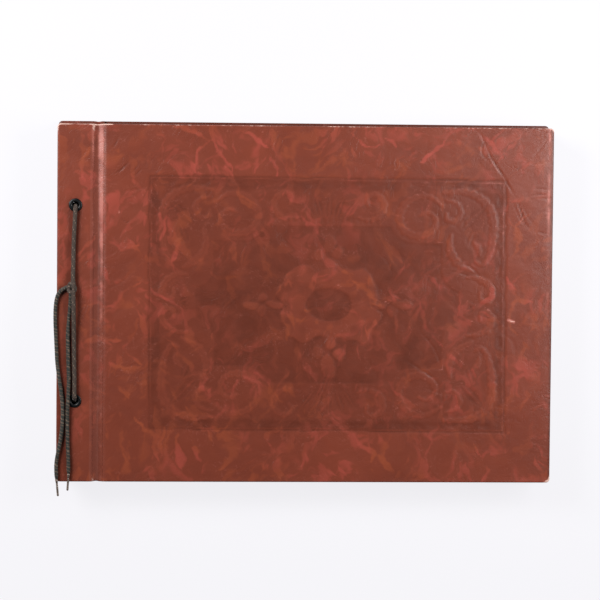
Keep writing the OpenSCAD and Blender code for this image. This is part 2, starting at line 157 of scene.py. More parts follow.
# Leaves
LEAF_COUNT = 24
LEAF_T = 0.35
LEAF_BEND = 11.95
LEAF_PITCH = 0.8

# Eyelets
EYELET_X = -165.0
EYELET_SPACING = 140.0
EYELET_BORE = 4.8
FLANGE_D = 9.6
FLANGE_H = 0.7
CURL_D = 7.6
BARREL_T = 0.45
EYELET_SIDES = 56
PUNCH_CLEARANCE = 0.55
PUNCH_SIDES = 40

# Cord: sizes, and routes as x, y and height over the front binding strip
CORD_W = 3.2
CORD_H = 3.1
CORD_BORE_W = 3.0
CORD_FLAT_W = 4.4
CORD_FLAT_T = 2.2
TAIL_D = 2.8
AGLET_D = 1.6
KNOT_SIZE = (3.0, 2.8)
BEND_OVER = 3.3
BEND_OVER_IN = 0.8
BEND_UNDER = 2.1
CORD_SIDES = 32
CORD_STEP = 0.32
KNOT_STEP = 0.4
FLECK_PITCH = 2.4
AGLET_SIDES = 40
AGLET_CRIMPS = (3.0, 4.6)
FLAT_RUN_IN = 12.0
FLAT_RUN_POINTS = 11
STRIP_TOP = strip_high[2] + FIT
UPPER_RUN = [(-166.4, 14, 3), (-166.3, 20, 2.6), (-166.2, 28, 2.2), (-166.1, 38, 2), (-165.8, 48, 1.9)]
LOWER_RUN = [(-166, 5, 4.9), (-165.8, -3, 4.9), (-165.7, -12, 4.1), (-165.6, -21, 2.8), (-165.5, -30, 2),
             (-165.4, -40, 1.75), (-165.2, -50, 1.75)]
LEFT_ROUTE = [(-170, 10.5, 2.6), (-172.5, 9.4, 2.2), (-175, 7.8, 1.9), (-177, 5, 1.8), (-178.2, 1, 1.6),
              (-178.9, -6, 1.5), (-178.9, -15, 1.5), (-178.5, -24, 1.5), (-178, -34, 1.6),
              (-177.4, -44, 1.8), (-176, -55, 1.8), (-174.6, -64, 1.8), (-173.6, -73, 1.8),
              (-173.4, -82, 1.8), (-173.9, -91, 1.8), (-175, -100, 1.8), (-176.6, -108, 1.8),
              (-177.8, -116, 1.8), (-177.7, -124, 1.8), (-177.5, -127.5, 1.8)]
RIGHT_ROUTE = [(-168.1, 6, 1.8), (-168.2, 2, 1.8), (-168.6, -6, 1.8), (-169.4, -15, 1.8), (-170, -24, 1.8),
               (-169.8, -35, 1.8), (-169.5, -46, 1.8), (-169.2, -56, 2), (-169.4, -64, 2.6),
               (-169.6, -70, 2.7), (-169.8, -76, 2.5), (-169.9, -85, 1.8), (-169.8, -95, 1.8),
               (-169.6, -104, 1.8), (-169.2, -112, 1.8), (-169, -120, 1.8), (-169, -123.5, 1.8)]
LEFT_TIP = (-176.4, -139.5, 1.7)
RIGHT_TIP = (-169.7, -135.5, 1.7)

# Knot: two strands, one from the upper run to the right end, one from the lower run to the left end
KNOT_DOWN = [(-166.3, 15, 3), (-165.6, 12, 3.9), (-164.9, 9, 4.3), (-166.2, 6.6, 4.6), (-168.6, 7.2, 4.2),
             (-169.3, 9.2, 2.6), (-167.6, 9.8, 1.5), (-166.6, 8.2, 1.5), (-167.5, 6.8, 1.7),
             (-168.1, 5.4, 1.8)]
KNOT_UP = [(-166, 4, 4.9), (-166, 6.5, 5), (-165.8, 9.4, 5), (-166.3, 12, 4.8), (-168.2, 12.8, 3.4),
           (-168.9, 11.6, 2.3), (-167.4, 10.8, 2.6), (-168.4, 10.4, 3.2), (-169.6, 10.6, 2.8),
           (-171, 10.1, 2.4)]

# Embossing, from the middle of the frame
PANEL_MID = (GROOVE_X1 + FORE_X) / 2
FRAME_W = 255.0
FRAME_H = 180.3
FRAME_LINE = 1.0
SCROLL_STEP = 1.2
LOBE_PITCH = 5.2
FLUTE_PITCH = 4.2
BLOCK_PITCH = 12.5
BLOCK_W = 8.0
BLOCK_H = 3.0
BLOCK_GAP = 2.2
FIELD_W = 188.2
FIELD_H = 112.5
FIELD_SCROLL_R = 16.5
FIELD_CORNER = (FIELD_W / 2 - 12.5, FIELD_H / 2 - 11.5)
FIELD_SHOULDER = (21.0, 18.0)
OVAL_W = 33.0
OVAL_H = 24.0

# Heights of the design's parts, as shares of the relief's depth under the covering's face
BAND_LEVEL = -0.42
SCROLL_LEVEL = 0.14
FIELD_LEVEL = -0.85
OVAL_LEVEL = -0.8
BLOCK_LEVEL = -0.8
LINE_LEVEL = -0.9

# One quarter of the design: scrolls as points and breadth, leaves as base, tip and width,
# the plaque's outline, and its finials as middle, width and height
SCROLLS = [
    [[(83, 81), (97, 81.5), (108, 78), (115.5, 70), (118.5, 59), (117.5, 47), (115.5, 37), (111, 30),
      (106, 31.5)], 2.9],
    [[(81, 72), (72, 77.5), (61, 77), (53, 71), (50.5, 63), (53, 55), (60, 50.5), (68, 50), (75, 54.5),
      (76.5, 62), (71, 67), (65, 64.5)], 2.5],
    [[(84, 76), (92, 73.5), (95, 67), (91, 61), (85, 61.5), (84, 66.5)], 1.7],
    [[(88, 51), (87, 43), (90, 34), (97, 28.5), (103.5, 25)], 2.7],
    [[(100, 20.5), (108, 20), (115, 16), (118, 9.5), (115, 4), (110, 5), (109.5, 10)], 2.2],
    [[(21, 62), (30, 60.5), (37.5, 65), (39, 73), (33, 79), (27, 76.5), (28, 70.5)], 2.0],
    [[(104, 46), (108, 41), (108.5, 36)], 1.8],
]
LEAVES = [
    [(95, 55), (114, 74), 6.5],
    [(100, 43), (105, 57), 5],
    [(0, 61.5), (0, 80), 5],
    [(5, 61.5), (11, 79), 4.5],
    [(10, 61), (21, 75.5), 4],
    [(99, 3.5), (107, 0), 4],
]
PLAQUE = [(0, 0), (0, 23.5), (8, 23.5), (12, 26), (24, 26.5), (30, 22.5), (32, 16.5), (35.5, 12), (36.5, 6),
          (34, 3), (34, 0)]
FINIALS = [
    [(0, 27), 7, 12], [(7, 35.5), 8.5, 10], [(0, 44), 10, 14],
    [(38, 0), 12, 5.5], [(46, 4.5), 8, 7], [(54, 0), 14, 8],
]

# Middle of the front in the lists of folds, scuffs and glints, and streaks
MARKS_Y = -1.8

# Folds in the covering: points, width and depth
CREASES = [
    [[(120, 125.5), (125, 121), (132.9, 104.5), (142.5, 90.3), (145.5, 84.6), (152.8, 73.2)], 0.7, 1.1],
    [[(151.5, 75), (157.3, 58.9), (161, 53.9)], 0.55, 1.2],
    [[(149, 72), (154, 61), (158, 55)], 0.5, 0.9],
    [[(155, 71), (160, 62), (165, 56)], 0.5, 0.8],
    [[(127, 117), (126, 108), (131, 102)], 0.7, 0.7],
    [[(143.2, 90.3), (151.1, 96.1), (165.4, 105.5)], 0.9, 0.8],
    [[(163, 105), (170, 114), (174, 122)], 0.7, 0.5],
    [[(160.7, 77.6), (167, 78.5), (173, 78.4)], 0.7, 0.9],
    [[(164, 83), (177, 82)], 0.8, 0.6],
    [[(166, 76), (177, 75.5)], 0.8, 0.7],
    [[(167, 66), (177, 66)], 0.8, 0.5],
    [[(165, 52), (176.5, 50)], 0.8, 0.6],
    [[(163, 99), (176, 103)], 0.7, 0.4],
    [[(84, -22), (93, -33), (99, -47)], 0.7, 0.9],
    [[(74, -42), (92, -54), (97, -59)], 0.8, 0.9],
    [[(86, -61), (100, -66), (108, -64)], 0.7, 0.5],
    [[(-142, 106.8), (-137.1, 111.8), (-134.3, 118.2)], 0.7, 0.9],
    [[(-139.8, 89.8), (-133.4, 93.4), (-125.7, 100.5)], 0.7, 1.0],
    [[(-127, 89.9), (-122.1, 94.9), (-120.7, 99.2)], 0.6, 0.7],
    [[(-123.5, 88.5), (-117.8, 94.9)], 0.6, 0.7],
    [[(-130.5, 78.5), (-123.4, 79.3), (-114.9, 81.5)], 0.7, 0.8],
    [[(-123.6, 117.6), (-120.8, 111.9)], 0.6, 0.6],
    [[(-135.4, 65), (-133.2, 59.3), (-127.5, 56.5), (-128.3, 62.2)], 0.6, 0.8],
    [[(-108, 104), (-112, 99), (-110, 94)], 0.6, 0.5],
    [[(-28, 124), (-28.5, 112)], 0.8, 0.5],
    [[(-58, 9), (-52, 1), (-47, -7)], 0.8, 0.6],
    [[(-90, 118), (-78, 122), (-66, 120)], 0.9, 0.4],
    [[(62, 92), (76, 103), (86, 108)], 1.2, 0.5],
    [[(48, 38), (58, 30), (63, 18)], 0.8, 0.4],
    [[(109, 30), (121, 24), (127, 16)], 0.8, 0.7],
    [[(104, 23), (118, 19), (126, 9)], 0.7, 0.6],
    [[(-144, 66), (-140, 61), (-142, 54)], 0.8, 0.5],
    [[(-143, 8), (-131, 14), (-124, 22)], 0.8, 0.5],
    [[(-140, -42), (-128, -47), (-121, -45), (-122, -53)], 0.8, 0.5],
    [[(-20, -94), (-10, -99), (-4, -107)], 0.9, 0.5],
    [[(120, -96), (126, -104), (124, -113)], 0.9, 0.4],
    [[(140, -20), (150, -28), (152, -40)], 0.9, 0.5],
]

# Small scuffs and painted glints that show pale, on the album: points, width and strength
SCUFFS_AND_GLINTS = [
    [[(146.7, -12), (150.4, -13.4)], 1.7, 1.0],
    [[(119, -12.6), (122, -13.8)], 0.7, 0.6],
    [[(-134.7, 65.7), (-133.9, 62.8)], 0.6, 0.7],
    [[(153.7, 59.6), (156.7, 56.7)], 0.6, 0.65],
    [[(165.5, 124.5), (166.5, 122.5)], 0.7, 0.6],
    [[(22.6, 12.7), (25.5, 11.3)], 0.6, 0.65],
    [[(135.7, 55.8), (138.6, 53.7)], 0.6, 0.55],
    [[(125.4, 19.2), (128.3, 17)], 0.6, 0.6],
    [[(111.7, -41.3), (114.6, -44.2)], 0.6, 0.6],
    [[(129.3, -3.1), (132.2, -4.5)], 0.6, 0.6],
    [[(57.2, 0.8), (60.1, -0.6)], 0.6, 0.6],
    [[(124.7, 75.1), (127.5, 75.1)], 0.6, 0.5],
    [[(101.3, 38.4), (104.2, 37)], 0.6, 0.5],
    [[(-82.8, -37.3), (-80, -38.7)], 0.6, 0.5],
]

# Bright streaks of the marbling, on the album: points and width
STREAKS = [
    [[(-101, 130), (-90, 124), (-71, 116)], 6],
    [[(-70, 116), (-77, 106), (-78, 97), (-76, 90)], 4.5],
    [[(-69, 115), (-62, 106), (-54, 93)], 4.5],
    [[(-46, 122), (-36, 118), (-27, 110)], 4],
    [[(-26, 104), (-21, 94), (-22, 88)], 5],
    [[(-18, 106), (-10, 101), (-7, 94)], 8],
    [[(30, 122), (42, 113), (54, 113)], 5],
    [[(56, 118), (66, 112)], 4],
    [[(80, 101), (93, 111), (103, 119)], 4],
    [[(128, 120), (134, 112), (140, 104)], 7],
    [[(47, 53), (54, 43), (61, 31), (66, 21)], 5.5],
    [[(76, 36), (73, 28), (67, 22)], 4.5],
    [[(89, 19), (98, 12), (107, 5)], 6],
    [[(-20, -5), (-14, -19), (-12, -28)], 6],
    [[(0, -5), (12, -6), (20, -1)], 6],
    [[(-68, 20), (-58, 17), (-49, 18)], 6],
    [[(82, 0), (87, -16), (98, -31)], 5],
    [[(105, -37), (110, -45)], 5],
    [[(34, -94), (42, -103), (50, -109), (48, -116)], 5],
    [[(-36, -50), (-26, -58), (-24, -66)], 7],
    [[(112, 13), (111, 4), (110, -9)], 4],
    [[(-165, -6), (-151, -2), (-138, -3), (-128, 8), (-118, 14)], 5],
    [[(-168, -35), (-150, -27), (-132, -29)], 5],
    [[(-140, -44), (-128, -50), (-118, -48)], 6],
    [[(146, 20), (151, 6), (164, 0)], 5],
    [[(154, 8), (148, -10), (152, -24)], 5],
    [[(128, -110), (122, -100)], 5],
    [[(-142, 44), (-132, 38), (-120, 40)], 6],
    [[(-155, 110), (-160, 96), (-158, 84)], 6],
    [[(-150, 46), (-162, 34), (-172, 20)], 5],
    [[(-4, 62), (4, 54), (14, 46)], 5],
    [[(-38, 34), (-28, 28), (-24, 18)], 5],
    [[(34, 16), (44, 8), (47, -4)], 7],
    [[(52, -12), (46, -22), (50, -32)], 7],
    [[(-84, -84), (-70, -92), (-56, -90)], 5],
    [[(-122, -84), (-112, -94), (-98, -100)], 5],
    [[(80, -88), (92, -98), (108, -96)], 4],
    [[(-96, 50), (-92, 38), (-96, 26)], 6],
    [[(-110, 70), (-104, 58), (-108, 44)], 5],
    [[(146, 60), (154, 46), (150, 34)], 6],
]

# Camera and lamps, in metres and degrees: a lamp's place, size, brightness and the point that it faces
CAMERA_PLACE = (-0.10379, 0.08288, 1.78400)
CAMERA_TURN = (-2.660, -3.2236, 0.5276)
CAMERA_ANGLE = 13.943
LAMPS = [
    ("left_softbox", (-0.694, 0.446, 0.713), 0.431, 18.4, (-0.1, 0.05, 0)),
    ("right_softbox", (0.485, 0.117, 0.464), 0.356, 6.2, (0.12, 0.08, 0)),
    ("corner_softbox", (0.36, 0.22, 0.50), 0.18, 7.4, (0.15, 0.1, 0)),
]
ROOM_LIGHT = 0.06

# Ground, in millimetres
GROUND_REACH = 5000.0
GROUND_Z = -0.1


def srgb(red, green, blue):
    """A colour given as 0 to 255 on a screen, in linear values."""
    values = (red / 255, green / 255, blue / 255)
    return tuple(((c + 0.055) / 1.055) ** 2.4 if c > 0.04045 else c / 12.92 for c in values)


def colour_property(name, description, red, green, blue):
    """A colour that a user may change."""
    return FloatVectorProperty(name=name, description=description, default=srgb(red, green, blue),
                               subtype="COLOR", min=0, max=1)


def toned(colour, factor):
    """A colour made darker or lighter."""
    return tuple(c * factor for c in colour)


def length_property(name, description, default, low, high):
    """A length that a user may change, given in millimetres."""
    return FloatProperty(name=name, description=description, default=default * MM, min=low * MM,
                         max=high * MM, precision=5, subtype="DISTANCE", unit="LENGTH")


class AlbumSizes(bpy.types.PropertyGroup):
    """Sizes of what the coverings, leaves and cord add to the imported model."""

    relief: length_property("Relief", "Depth of the embossing", 0.25, 0, 0.5)
    crease: length_property("Creases", "Depth of the folds in the covering", 0.16, 0, 0.4)
    shoulder: length_property("Groove shoulder", "Width of the slope up from the groove", 8.4, 4, 12)
    braid_strands: IntProperty(name="Strands", description="Strands that run each way round the cord",
                               default=8, min=4, max=16)
    braid_lay: length_property("Lay", "Length of cord in which a strand goes once round", 13, 6, 30)
    braid_relief: length_property("Strand relief", "How far the strands stand out of the cord", 0.32, 0, 0.6)
    leaf_wander: length_property("Uneven leaves", "How far the leaves' edges differ", 0.5, 0, 1.5)


class AlbumColours(bpy.types.PropertyGroup):
    """Colours of the album's finishes."""

    leather: colour_property("Leather", "Main colour of the covering", 131, 61, 43)
    leather_bright: colour_property("Marbling", "Bright streaks of the covering", 166, 73, 60)
    leather_warm: colour_property("Warm marbling", "Orange streaks of the covering", 149, 71, 45)
    leather_dark: colour_property("Dark marbling", "Dark clouds of the covering", 113, 52, 37)
    # Painted shade: darkens the design's sunk parts, folds, edge roundings, groove, fore edge and the strip
    # round the cord
    leather_deep: colour_property("Sunk parts", "Covering in the sunk parts of the design", 92, 41, 27)
    # Painted highlight and rubbing: lightens embossed edges, fold lips, glints, the groove's slope and the
    # fore edge
    leather_pale: colour_property("Rubbed leather", "Covering where it is rubbed", 204, 124, 111)
    leather_core: colour_property("Worn leather", "Pale core of the covering where it is worn", 228, 186, 172)
    board: colour_property("Board", "Board inside the covers", 196, 160, 124)
    lining: colour_property("Lining", "Paper inside the covers", 58, 48, 44)
    card: colour_property("Card", "Card of the leaves", 62, 58, 54)
    cord: colour_property("Cord", "Threads of the cord", 70, 55, 46)
    cord_light: colour_property("Light threads", "Lighter threads of the cord", 150, 128, 108)
    cord_deep: colour_property("Dark threads", "Dark greenish threads of the cord's ends", 34, 42, 37)
    eyelet: colour_property("Eyelets", "Black lacquer of the eyelets", 12, 13, 15)
    aglet: colour_property("Cord tips", "Dull metal of the cord's tips", 176, 158, 146)
    floor: colour_property("Floor", "Ground under the album", 252, 251, 255)


class Wire:
    """A node's output in an expression, where plain numbers go in as they are."""

    def __init__(self, maker, socket):
        self.maker = maker
        self.socket = socket

    def out(self, name):
        """Another output of the same node."""
        return Wire(self.maker, self.socket.node.outputs[name])

    def __add__(self, other):
        return self.maker.maths("ADD", self, other)

    def __sub__(self, other):
        return self.maker.maths("SUBTRACT", self, other)

    def __rsub__(self, other):
        return self.maker.maths("SUBTRACT", other, self)

    def __mul__(self, other):
        return self.maker.maths("MULTIPLY", self, other)

    def __truediv__(self, other):
        return self.maker.maths("DIVIDE", self, other)

    __radd__ = __add__
    __rmul__ = __mul__


class Maker:
    """Builds the nodes of one material or one shape."""

    def __init__(self, tree):
        self.tree = tree
        tree.nodes.clear()

    def node(self, kind, settings=None, inputs=None, output=0):
        """Adds a node: its settings first, then the values or links of its sockets."""
        made = self.tree.nodes.new(kind)
        for name, value in (settings or {}).items():
            setattr(made, name, value)
        for name, value in (inputs or {}).items():
            if isinstance(value, Wire):
                self.tree.links.new(value.socket, made.inputs[name])
            else:
                made.inputs[name].default_value = value
        return Wire(self, made.outputs[output])

    def ended(self, kind, socket, wire):
        """Links the last node to the tree's output."""
        end = self.tree.nodes.new(kind)
        self.tree.links.new(wire.socket, end.inputs[socket])

    def maths(self, operation, *values):
        return self.node("ShaderNodeMath", {"operation": operation}, dict(enumerate(values)))

    def largest(self, first, *others):
        """The largest of these values."""
        for other in others:
            first = self.maths("MAXIMUM", first, other)
        return first

    def vector(self, operation, *values):
        return self.node("ShaderNodeVectorMath", {"operation": operation}, dict(enumerate(values)))

    def parts(self, vector, output="X"):
        """A vector's parts, the first of them or the one that is named."""
        return self.node("ShaderNodeSeparateXYZ", None, {0: vector}, output)

    def point(self, x, y, z):
        """A vector of three values."""
        return self.node("ShaderNodeCombineXYZ", None, {"X": x, "Y": y, "Z": z})

    def step(self, value, low, high):
        """Rises smoothly from 0 at low to 1 at high."""
        return self.node("ShaderNodeMapRange", {"interpolation_type": "SMOOTHSTEP"},
                         {0: value, 1: low, 2: high, 3: 0.0, 4: 1.0})

    def mix(self, factor, first, second):
        """Mixes two colours."""
        return self.node("ShaderNodeMix", {"data_type": "RGBA"},
                         {0: factor, 6: opaque(first), 7: opaque(second)}, 2)

    def noise(self, place, scale, detail=2.0, roughness=0.5, output=0):
        return self.node("ShaderNodeTexNoise", None,
                         {"Vector": place, "Scale": scale, "Detail": detail, "Roughness": roughness}, output)

    def cells(self, place, scale, feature="F1", output="Distance"):
        return self.node("ShaderNodeTexVoronoi", {"feature": feature}, {"Vector": place, "Scale": scale},
                         output)

    def tints(self, place, scale):
        """Soft cells, each with one random value."""
        return self.node("ShaderNodeSeparateColor", None, {0: self.cells(place, scale, "SMOOTH_F1", "Color")})

    def scaled(self, vector, factor):
        """A vector times a number."""
        return self.node("ShaderNodeVectorMath", {"operation": "SCALE"}, {0: vector, "Scale": factor})

    def warped(self, vector, place, scale, reach):
        """A vector shifted at random, up to about a quarter of reach."""
        push = self.vector("SUBTRACT", self.noise(place, scale, 2.0, output="Color"), (0.5, 0.5, 0.5))
        return self.vector("ADD", vector, self.scaled(push, reach))

    def turned(self, place, angle, *stretch):
        """Coordinates in which a pattern is turned about Z and drawn out along X and Y, and Z where given."""
        return self.node("ShaderNodeMapping", {"vector_type": "TEXTURE"},
                         {"Vector": place, "Rotation": (0.0, 0.0, math.radians(angle)),
                          "Scale": (*stretch, 1.0)[:3]})

    def attribute(self, name, output="Fac"):
        return self.node("ShaderNodeAttribute", {"attribute_name": name}, None, output)


def opaque(colour):
    """A colour with its alpha, or a link as it is."""
    return colour if isinstance(colour, Wire) else (*colour[:3], 1.0)


class Finish(Maker):
    """A material of one Principled surface."""

    def __init__(self, name):
        self.material = bpy.data.materials.new(name)
        self.material.use_nodes = True
        super().__init__(self.material.node_tree)

    def place(self):
        return self.node("ShaderNodeTexCoord", None, None, "Object")

    def surface(self, colour, roughness, bump, depth, strength, **others):
        """Ends the material. others are values of sockets, with _ for a space."""
        normal = self.node("ShaderNodeBump", None,
                           {"Height": bump, "Distance": depth * MM, "Strength": strength})
        inputs = {"Base Color": opaque(colour), "Roughness": roughness, "Normal": normal}
        inputs.update({name.replace("_", " "): value for name, value in others.items()})
        return self.made_of(self.node("ShaderNodeBsdfPrincipled", None, inputs))

    def made_of(self, shader):
        """The material, with this shader as its surface."""
        self.ended("ShaderNodeOutputMaterial", "Surface", shader)
        return self.material


class Shape(Maker):
    """Builds a Geometry Nodes tree with named inputs: a number each, or a kind of socket."""

    def __init__(self, name, sockets):
        tree = bpy.data.node_groups.new(name, "GeometryNodeTree")
        tree.interface.new_socket("Geometry", in_out="OUTPUT", socket_type="NodeSocketGeometry")
        tree.interface.new_socket("Geometry", in_out="INPUT", socket_type="NodeSocketGeometry")
        for label, default in sockets.items():
            kind = {float: "Float", int: "Int"}.get(type(default), default)
            made = tree.interface.new_socket(label, in_out="INPUT", socket_type=f"NodeSocket{kind}")
            if kind != default:
                made.default_value = default
        super().__init__(tree)
        self.start = self.node("NodeGroupInput", None, None, "Geometry")

    def change(self, kind, geometry, settings=None, **inputs):
        """Runs a node on geometry. Inputs are values of sockets, with _ for a space."""
        sockets = {"Geometry": geometry, **{name.replace("_", " "): value for name, value in inputs.items()}}
        return self.node(f"GeometryNode{kind}", settings, sockets)

    def finished(self, geometry):
        """The tree, ended with this geometry in its finish."""
        made = self.change("RealizeInstances", geometry)
        made = self.change("SetMaterial", made, Material=self.start.out("Finish"))
        self.ended("NodeGroupOutput", "Geometry", made)
        return self.tree


def leather_finish(colours):
    """Marbled, glazed covering, with streaks, wear, painted shade and painted highlights from the piece's own
    attributes.
    """
    f = Finish("embossed leather")
    place = f.place()
    painted_shade = f.parts(f.attribute("marks", "Vector"))
    light = painted_shade.out("Y")
    fold = painted_shade.out("Z")

    wide = f.warped(place, place, 17.0, 0.05)
    shifted = f.warped(wide, place, 75.0, 0.012)
    cloud = f.step(f.noise(wide, 24.0, 4.0, 0.55), 0.34, 0.66)
    patches = f.tints(f.turned(shifted, 38, 1.4, 0.8), 58.0)
    small = f.tints(f.turned(shifted, -35, 1.4, 0.7), 140.0)
    leaning = f.step(f.noise(f.turned(shifted, -62, 1.9, 0.75), 74.0), 0.57, 0.68)
    upright = f.step(f.noise(f.turned(shifted, 75, 1.9, 0.7), 82.0), 0.58, 0.69)
    crossing = f.step(f.noise(f.turned(shifted, 28, 1.8, 0.7), 78.0), 0.59, 0.70)
    edges = 1 - f.step(f.cells(f.turned(shifted, 50, 1.4, 0.8), 32.0, "DISTANCE_TO_EDGE"), 0.01, 0.10)
    edges = edges * f.step(f.noise(shifted, 40.0), 0.47, 0.6)
    fine = f.noise(place, 420.0, 4.0, 0.6)
    ridge = f.maths("ABSOLUTE", f.noise(f.turned(shifted, -30, 1.5, 0.7), 300.0) - 0.5)
    glinting_creases = (1 - f.step(ridge, 0.0, 0.05)) * f.step(f.noise(shifted, 60.0), 0.5, 0.64)

    colour = f.mix(0.1 + cloud * 0.4 + patches * 0.3 + small * 0.2, colours.leather_dark, colours.leather)
    vein = f.largest(f.largest(leaning, upright * 0.9), f.largest(crossing, edges) * 0.75)
    vein = vein * (0.2 + patches * 0.45 + small * 0.25) * (1 - painted_shade * 0.4)
    hue = f.step(f.noise(place, 26.0), 0.42, 0.6)
    streak_colour = f.mix(hue, colours.leather_warm, colours.leather_bright)
    colour = f.mix(vein, colour, streak_colour)
    ragged = f.attribute("streak") + (f.noise(shifted, 150.0, 4.0, 0.6) - 0.5) * 0.9
    colour = f.mix(f.step(ragged, 0.15, 0.95) * (0.6 + small * 0.4), colour, streak_colour)
    broken = 0.55 + f.step(f.noise(shifted, 95.0, 3.0), 0.3, 0.7) * 0.45
    # Painted shade in the design's hollows, the groove, down the edge roundings and round the cord
    colour = f.mix(painted_shade * broken * (1 - vein * 0.8), colour, colours.leather_deep)
    # Painted highlights, partly also rubbing, from the light attribute
    lit_and_rubbed = f.step(light + (f.noise(place, 210.0, 4.0, 0.65) - 0.5) * 1.2, 0.25, 1.3)
    colour = f.mix(lit_and_rubbed * 0.7, colour, colours.leather_pale)
    # Painted shade in the folds
    colour = f.mix(f.step(fold, 0.1, 0.9) * 0.55, colour, colours.leather_deep)
    # Painted glints on the fine creases
    colour = f.mix(glinting_creases * f.step(fine, 0.45, 0.7) * 0.2, colour, colours.leather_pale)
    bare = f.step(f.attribute("worn") + (f.noise(place, 330.0, 4.0, 0.65) - 0.5) * 1.1, 0.5, 0.85)
    colour = f.mix(bare, colour, colours.leather_core)

    ridge = f.maths("ABSOLUTE", f.noise(f.turned(shifted, 52, 1.7, 0.7), 120.0, 3.0) - 0.5)
    crinkle = (1 - f.step(ridge, 0.0, 0.045)) * f.step(f.noise(wide, 36.0), 0.48, 0.62)
    wrinkle = f.noise(f.turned(shifted, 40, 1.6, 0.7), 190.0, 5.0, 0.6)
    bump = f.noise(place, 48.0, 3.0) * 1.9 + patches * 0.5 + small * 0.22 + wrinkle * 0.6 + fine * 0.14
    bump = bump + f.cells(place, 1500.0) * 0.08 - crinkle * 0.2 - glinting_creases * 0.04 - fold * 0.6
    roughness = 0.30 + f.noise(place, 90.0, 4.0) * 0.12 + bare * 0.4 + f.attribute("dull") * 0.45
    return f.surface(colour, roughness, bump, 0.36, 0.6, Specular_IOR_Level=0.4)


def board_finish(colours):
    """Grey-brown board of pressed fibres."""
    f = Finish("binders board")
    place = f.place()
    fibres = f.noise(f.turned(place, 15, 2.0, 0.5), 620.0, 5.0, 0.65)
    flecks = f.step(f.noise(place, 900.0), 0.62, 0.72)
    colour = f.mix(fibres, toned(colours.board, 0.72), colours.board)
    colour = f.mix(flecks * 0.4, colour, srgb(110, 86, 62))
    return f.surface(colour, 0.85, fibres, 0.08, 0.6)


def paper_finish(name, colour, pale):
    """Matt paper or card: felted fibres, faint clouds and pale hairs."""
    f = Finish(name)
    place = f.place()
    fibres = f.noise(f.turned(place, 4, 2.8, 0.5), 1400.0, 5.0, 0.7)
    clouds = f.noise(place, 32.0, 4.0, 0.6)
    hairs = f.step(f.noise(f.turned(place, 63, 5.0, 0.25), 700.0), 0.66, 0.74)
    tone = f.mix(clouds * 0.6 + fibres * 0.4, toned(colour, 0.78), toned(colour, 1.16))
    tone = f.mix(hairs * 0.35, tone, pale)
    return f.surface(tone, 0.78 + clouds * 0.12, fibres, 0.04, 0.5)


def cord_finish(colours):
    """Braided threads: painted shade in the crossings, with single lighter threads."""
    f = Finish("braided cord")
    place = f.place()
    lift = f.attribute("lift")
    fibre = f.noise(place, 2600.0, 3.0, 0.6)
    colour = f.mix(f.noise(place, 60.0, 3.0) * 0.7, toned(colours.cord, 0.75), toned(colours.cord, 1.25))
    colour = f.mix(f.attribute("deep"), colour, colours.cord_deep)
    tracer = f.step(f.attribute("tracer"), 0.4, 0.95) * f.step(lift, 0.2, 0.7)
    colour = f.mix(tracer * (0.35 + fibre * 0.6), colour, colours.cord_light)
    # Painted shade where the strands lie low, in the crossings
    colour = f.mix(1 - f.step(lift, 0.0, 0.5), colour, toned(colours.cord, 0.22))
    return f.surface(colour, 0.62 + fibre * 0.2, fibre, 0.08, 0.7, Sheen_Weight=0.25, Sheen_Roughness=0.4)


def eyelet_finish(colours):
    """Black lacquer on brass, chipped a little on its rim."""
    f = Finish("black lacquered eyelets")
    place = f.place()
    chips = f.step(f.noise(place, 900.0, 4.0, 0.7), 0.68, 0.74)
    dull = f.noise(place, 350.0, 3.0)
    colour = f.mix(chips * 0.7, colours.eyelet, srgb(120, 96, 66))
    return f.surface(colour, 0.26 + dull * 0.22, dull, 0.03, 0.4, Metallic=chips * 0.8,
                     Specular_IOR_Level=0.35)


def aglet_finish(colours):
    """Dull tinned metal, darker in random stains, with scratches in its roughness and bump."""
    f = Finish("dull cord tips")
    place = f.place()
    scratches = f.noise(f.turned(place, 6, 0.2, 2.0, 0.2), 1200.0, 3.0, 0.6)
    stains = f.step(f.noise(place, 500.0, 3.0), 0.35, 0.7)
    colour = f.mix(stains, toned(colours.aglet, 0.5), colours.aglet)
    return f.surface(colour, 0.3 + scratches * 0.25, scratches, 0.02, 0.5, Metallic=0.85)


def floor_finish(colours):
    """Pale ground, nearly white to the camera and in reflections, which keeps the album's shadow."""
    f = Finish("pale ground")
    # Painted shade: the ground is a little darker towards -Y
    tone = f.mix(f.step(f.parts(f.place(), "Y"), -0.22, 0.2), toned(colours.floor, 0.965), colours.floor)
    ground = f.node("ShaderNodeBsdfDiffuse", None, {"Color": tone})
    bright = f.node("ShaderNodeEmission", None, {"Color": tone, "Strength": 1.0})
    rays = f.node("ShaderNodeLightPath", None, None, "Is Camera Ray")
    seen = f.largest(rays, rays.out("Is Glossy Ray"), rays.out("Is Transmission Ray"))
    return f.made_of(f.node("ShaderNodeMixShader", None, {0: seen * 0.89, 1: ground, 2: bright}))


FINISHES = {
    "embossed leather": leather_finish,
    "binders board": board_finish,
    "lining paper": lambda colours: paper_finish("lining paper", colours.lining, srgb(120, 104, 92)),
    "leaf card": lambda colours: paper_finish("leaf card", colours.card, srgb(120, 112, 104)),
    "braided cord": cord_finish,
    "black lacquered eyelets": eyelet_finish,
    "dull cord tips": aglet_finish,
    "pale ground": floor_finish,
}


def finish(name):
    """The material of that name, made when it is first asked for."""
    made = bpy.data.materials.get(name)
    return made or FINISHES[name](bpy.context.scene.album_colours)


def smooth(value, low, high):
    """Rises smoothly from 0 at low to 1 at high."""
    s = np.clip((np.asarray(value, float) - low) / (high - low), 0, 1)
    return s * s * (3 - 2 * s)


def bell(value, width):
    """1 where a value is 0, falling away over a width to both sides."""
    return np.exp(-(np.asarray(value) / width) ** 2)


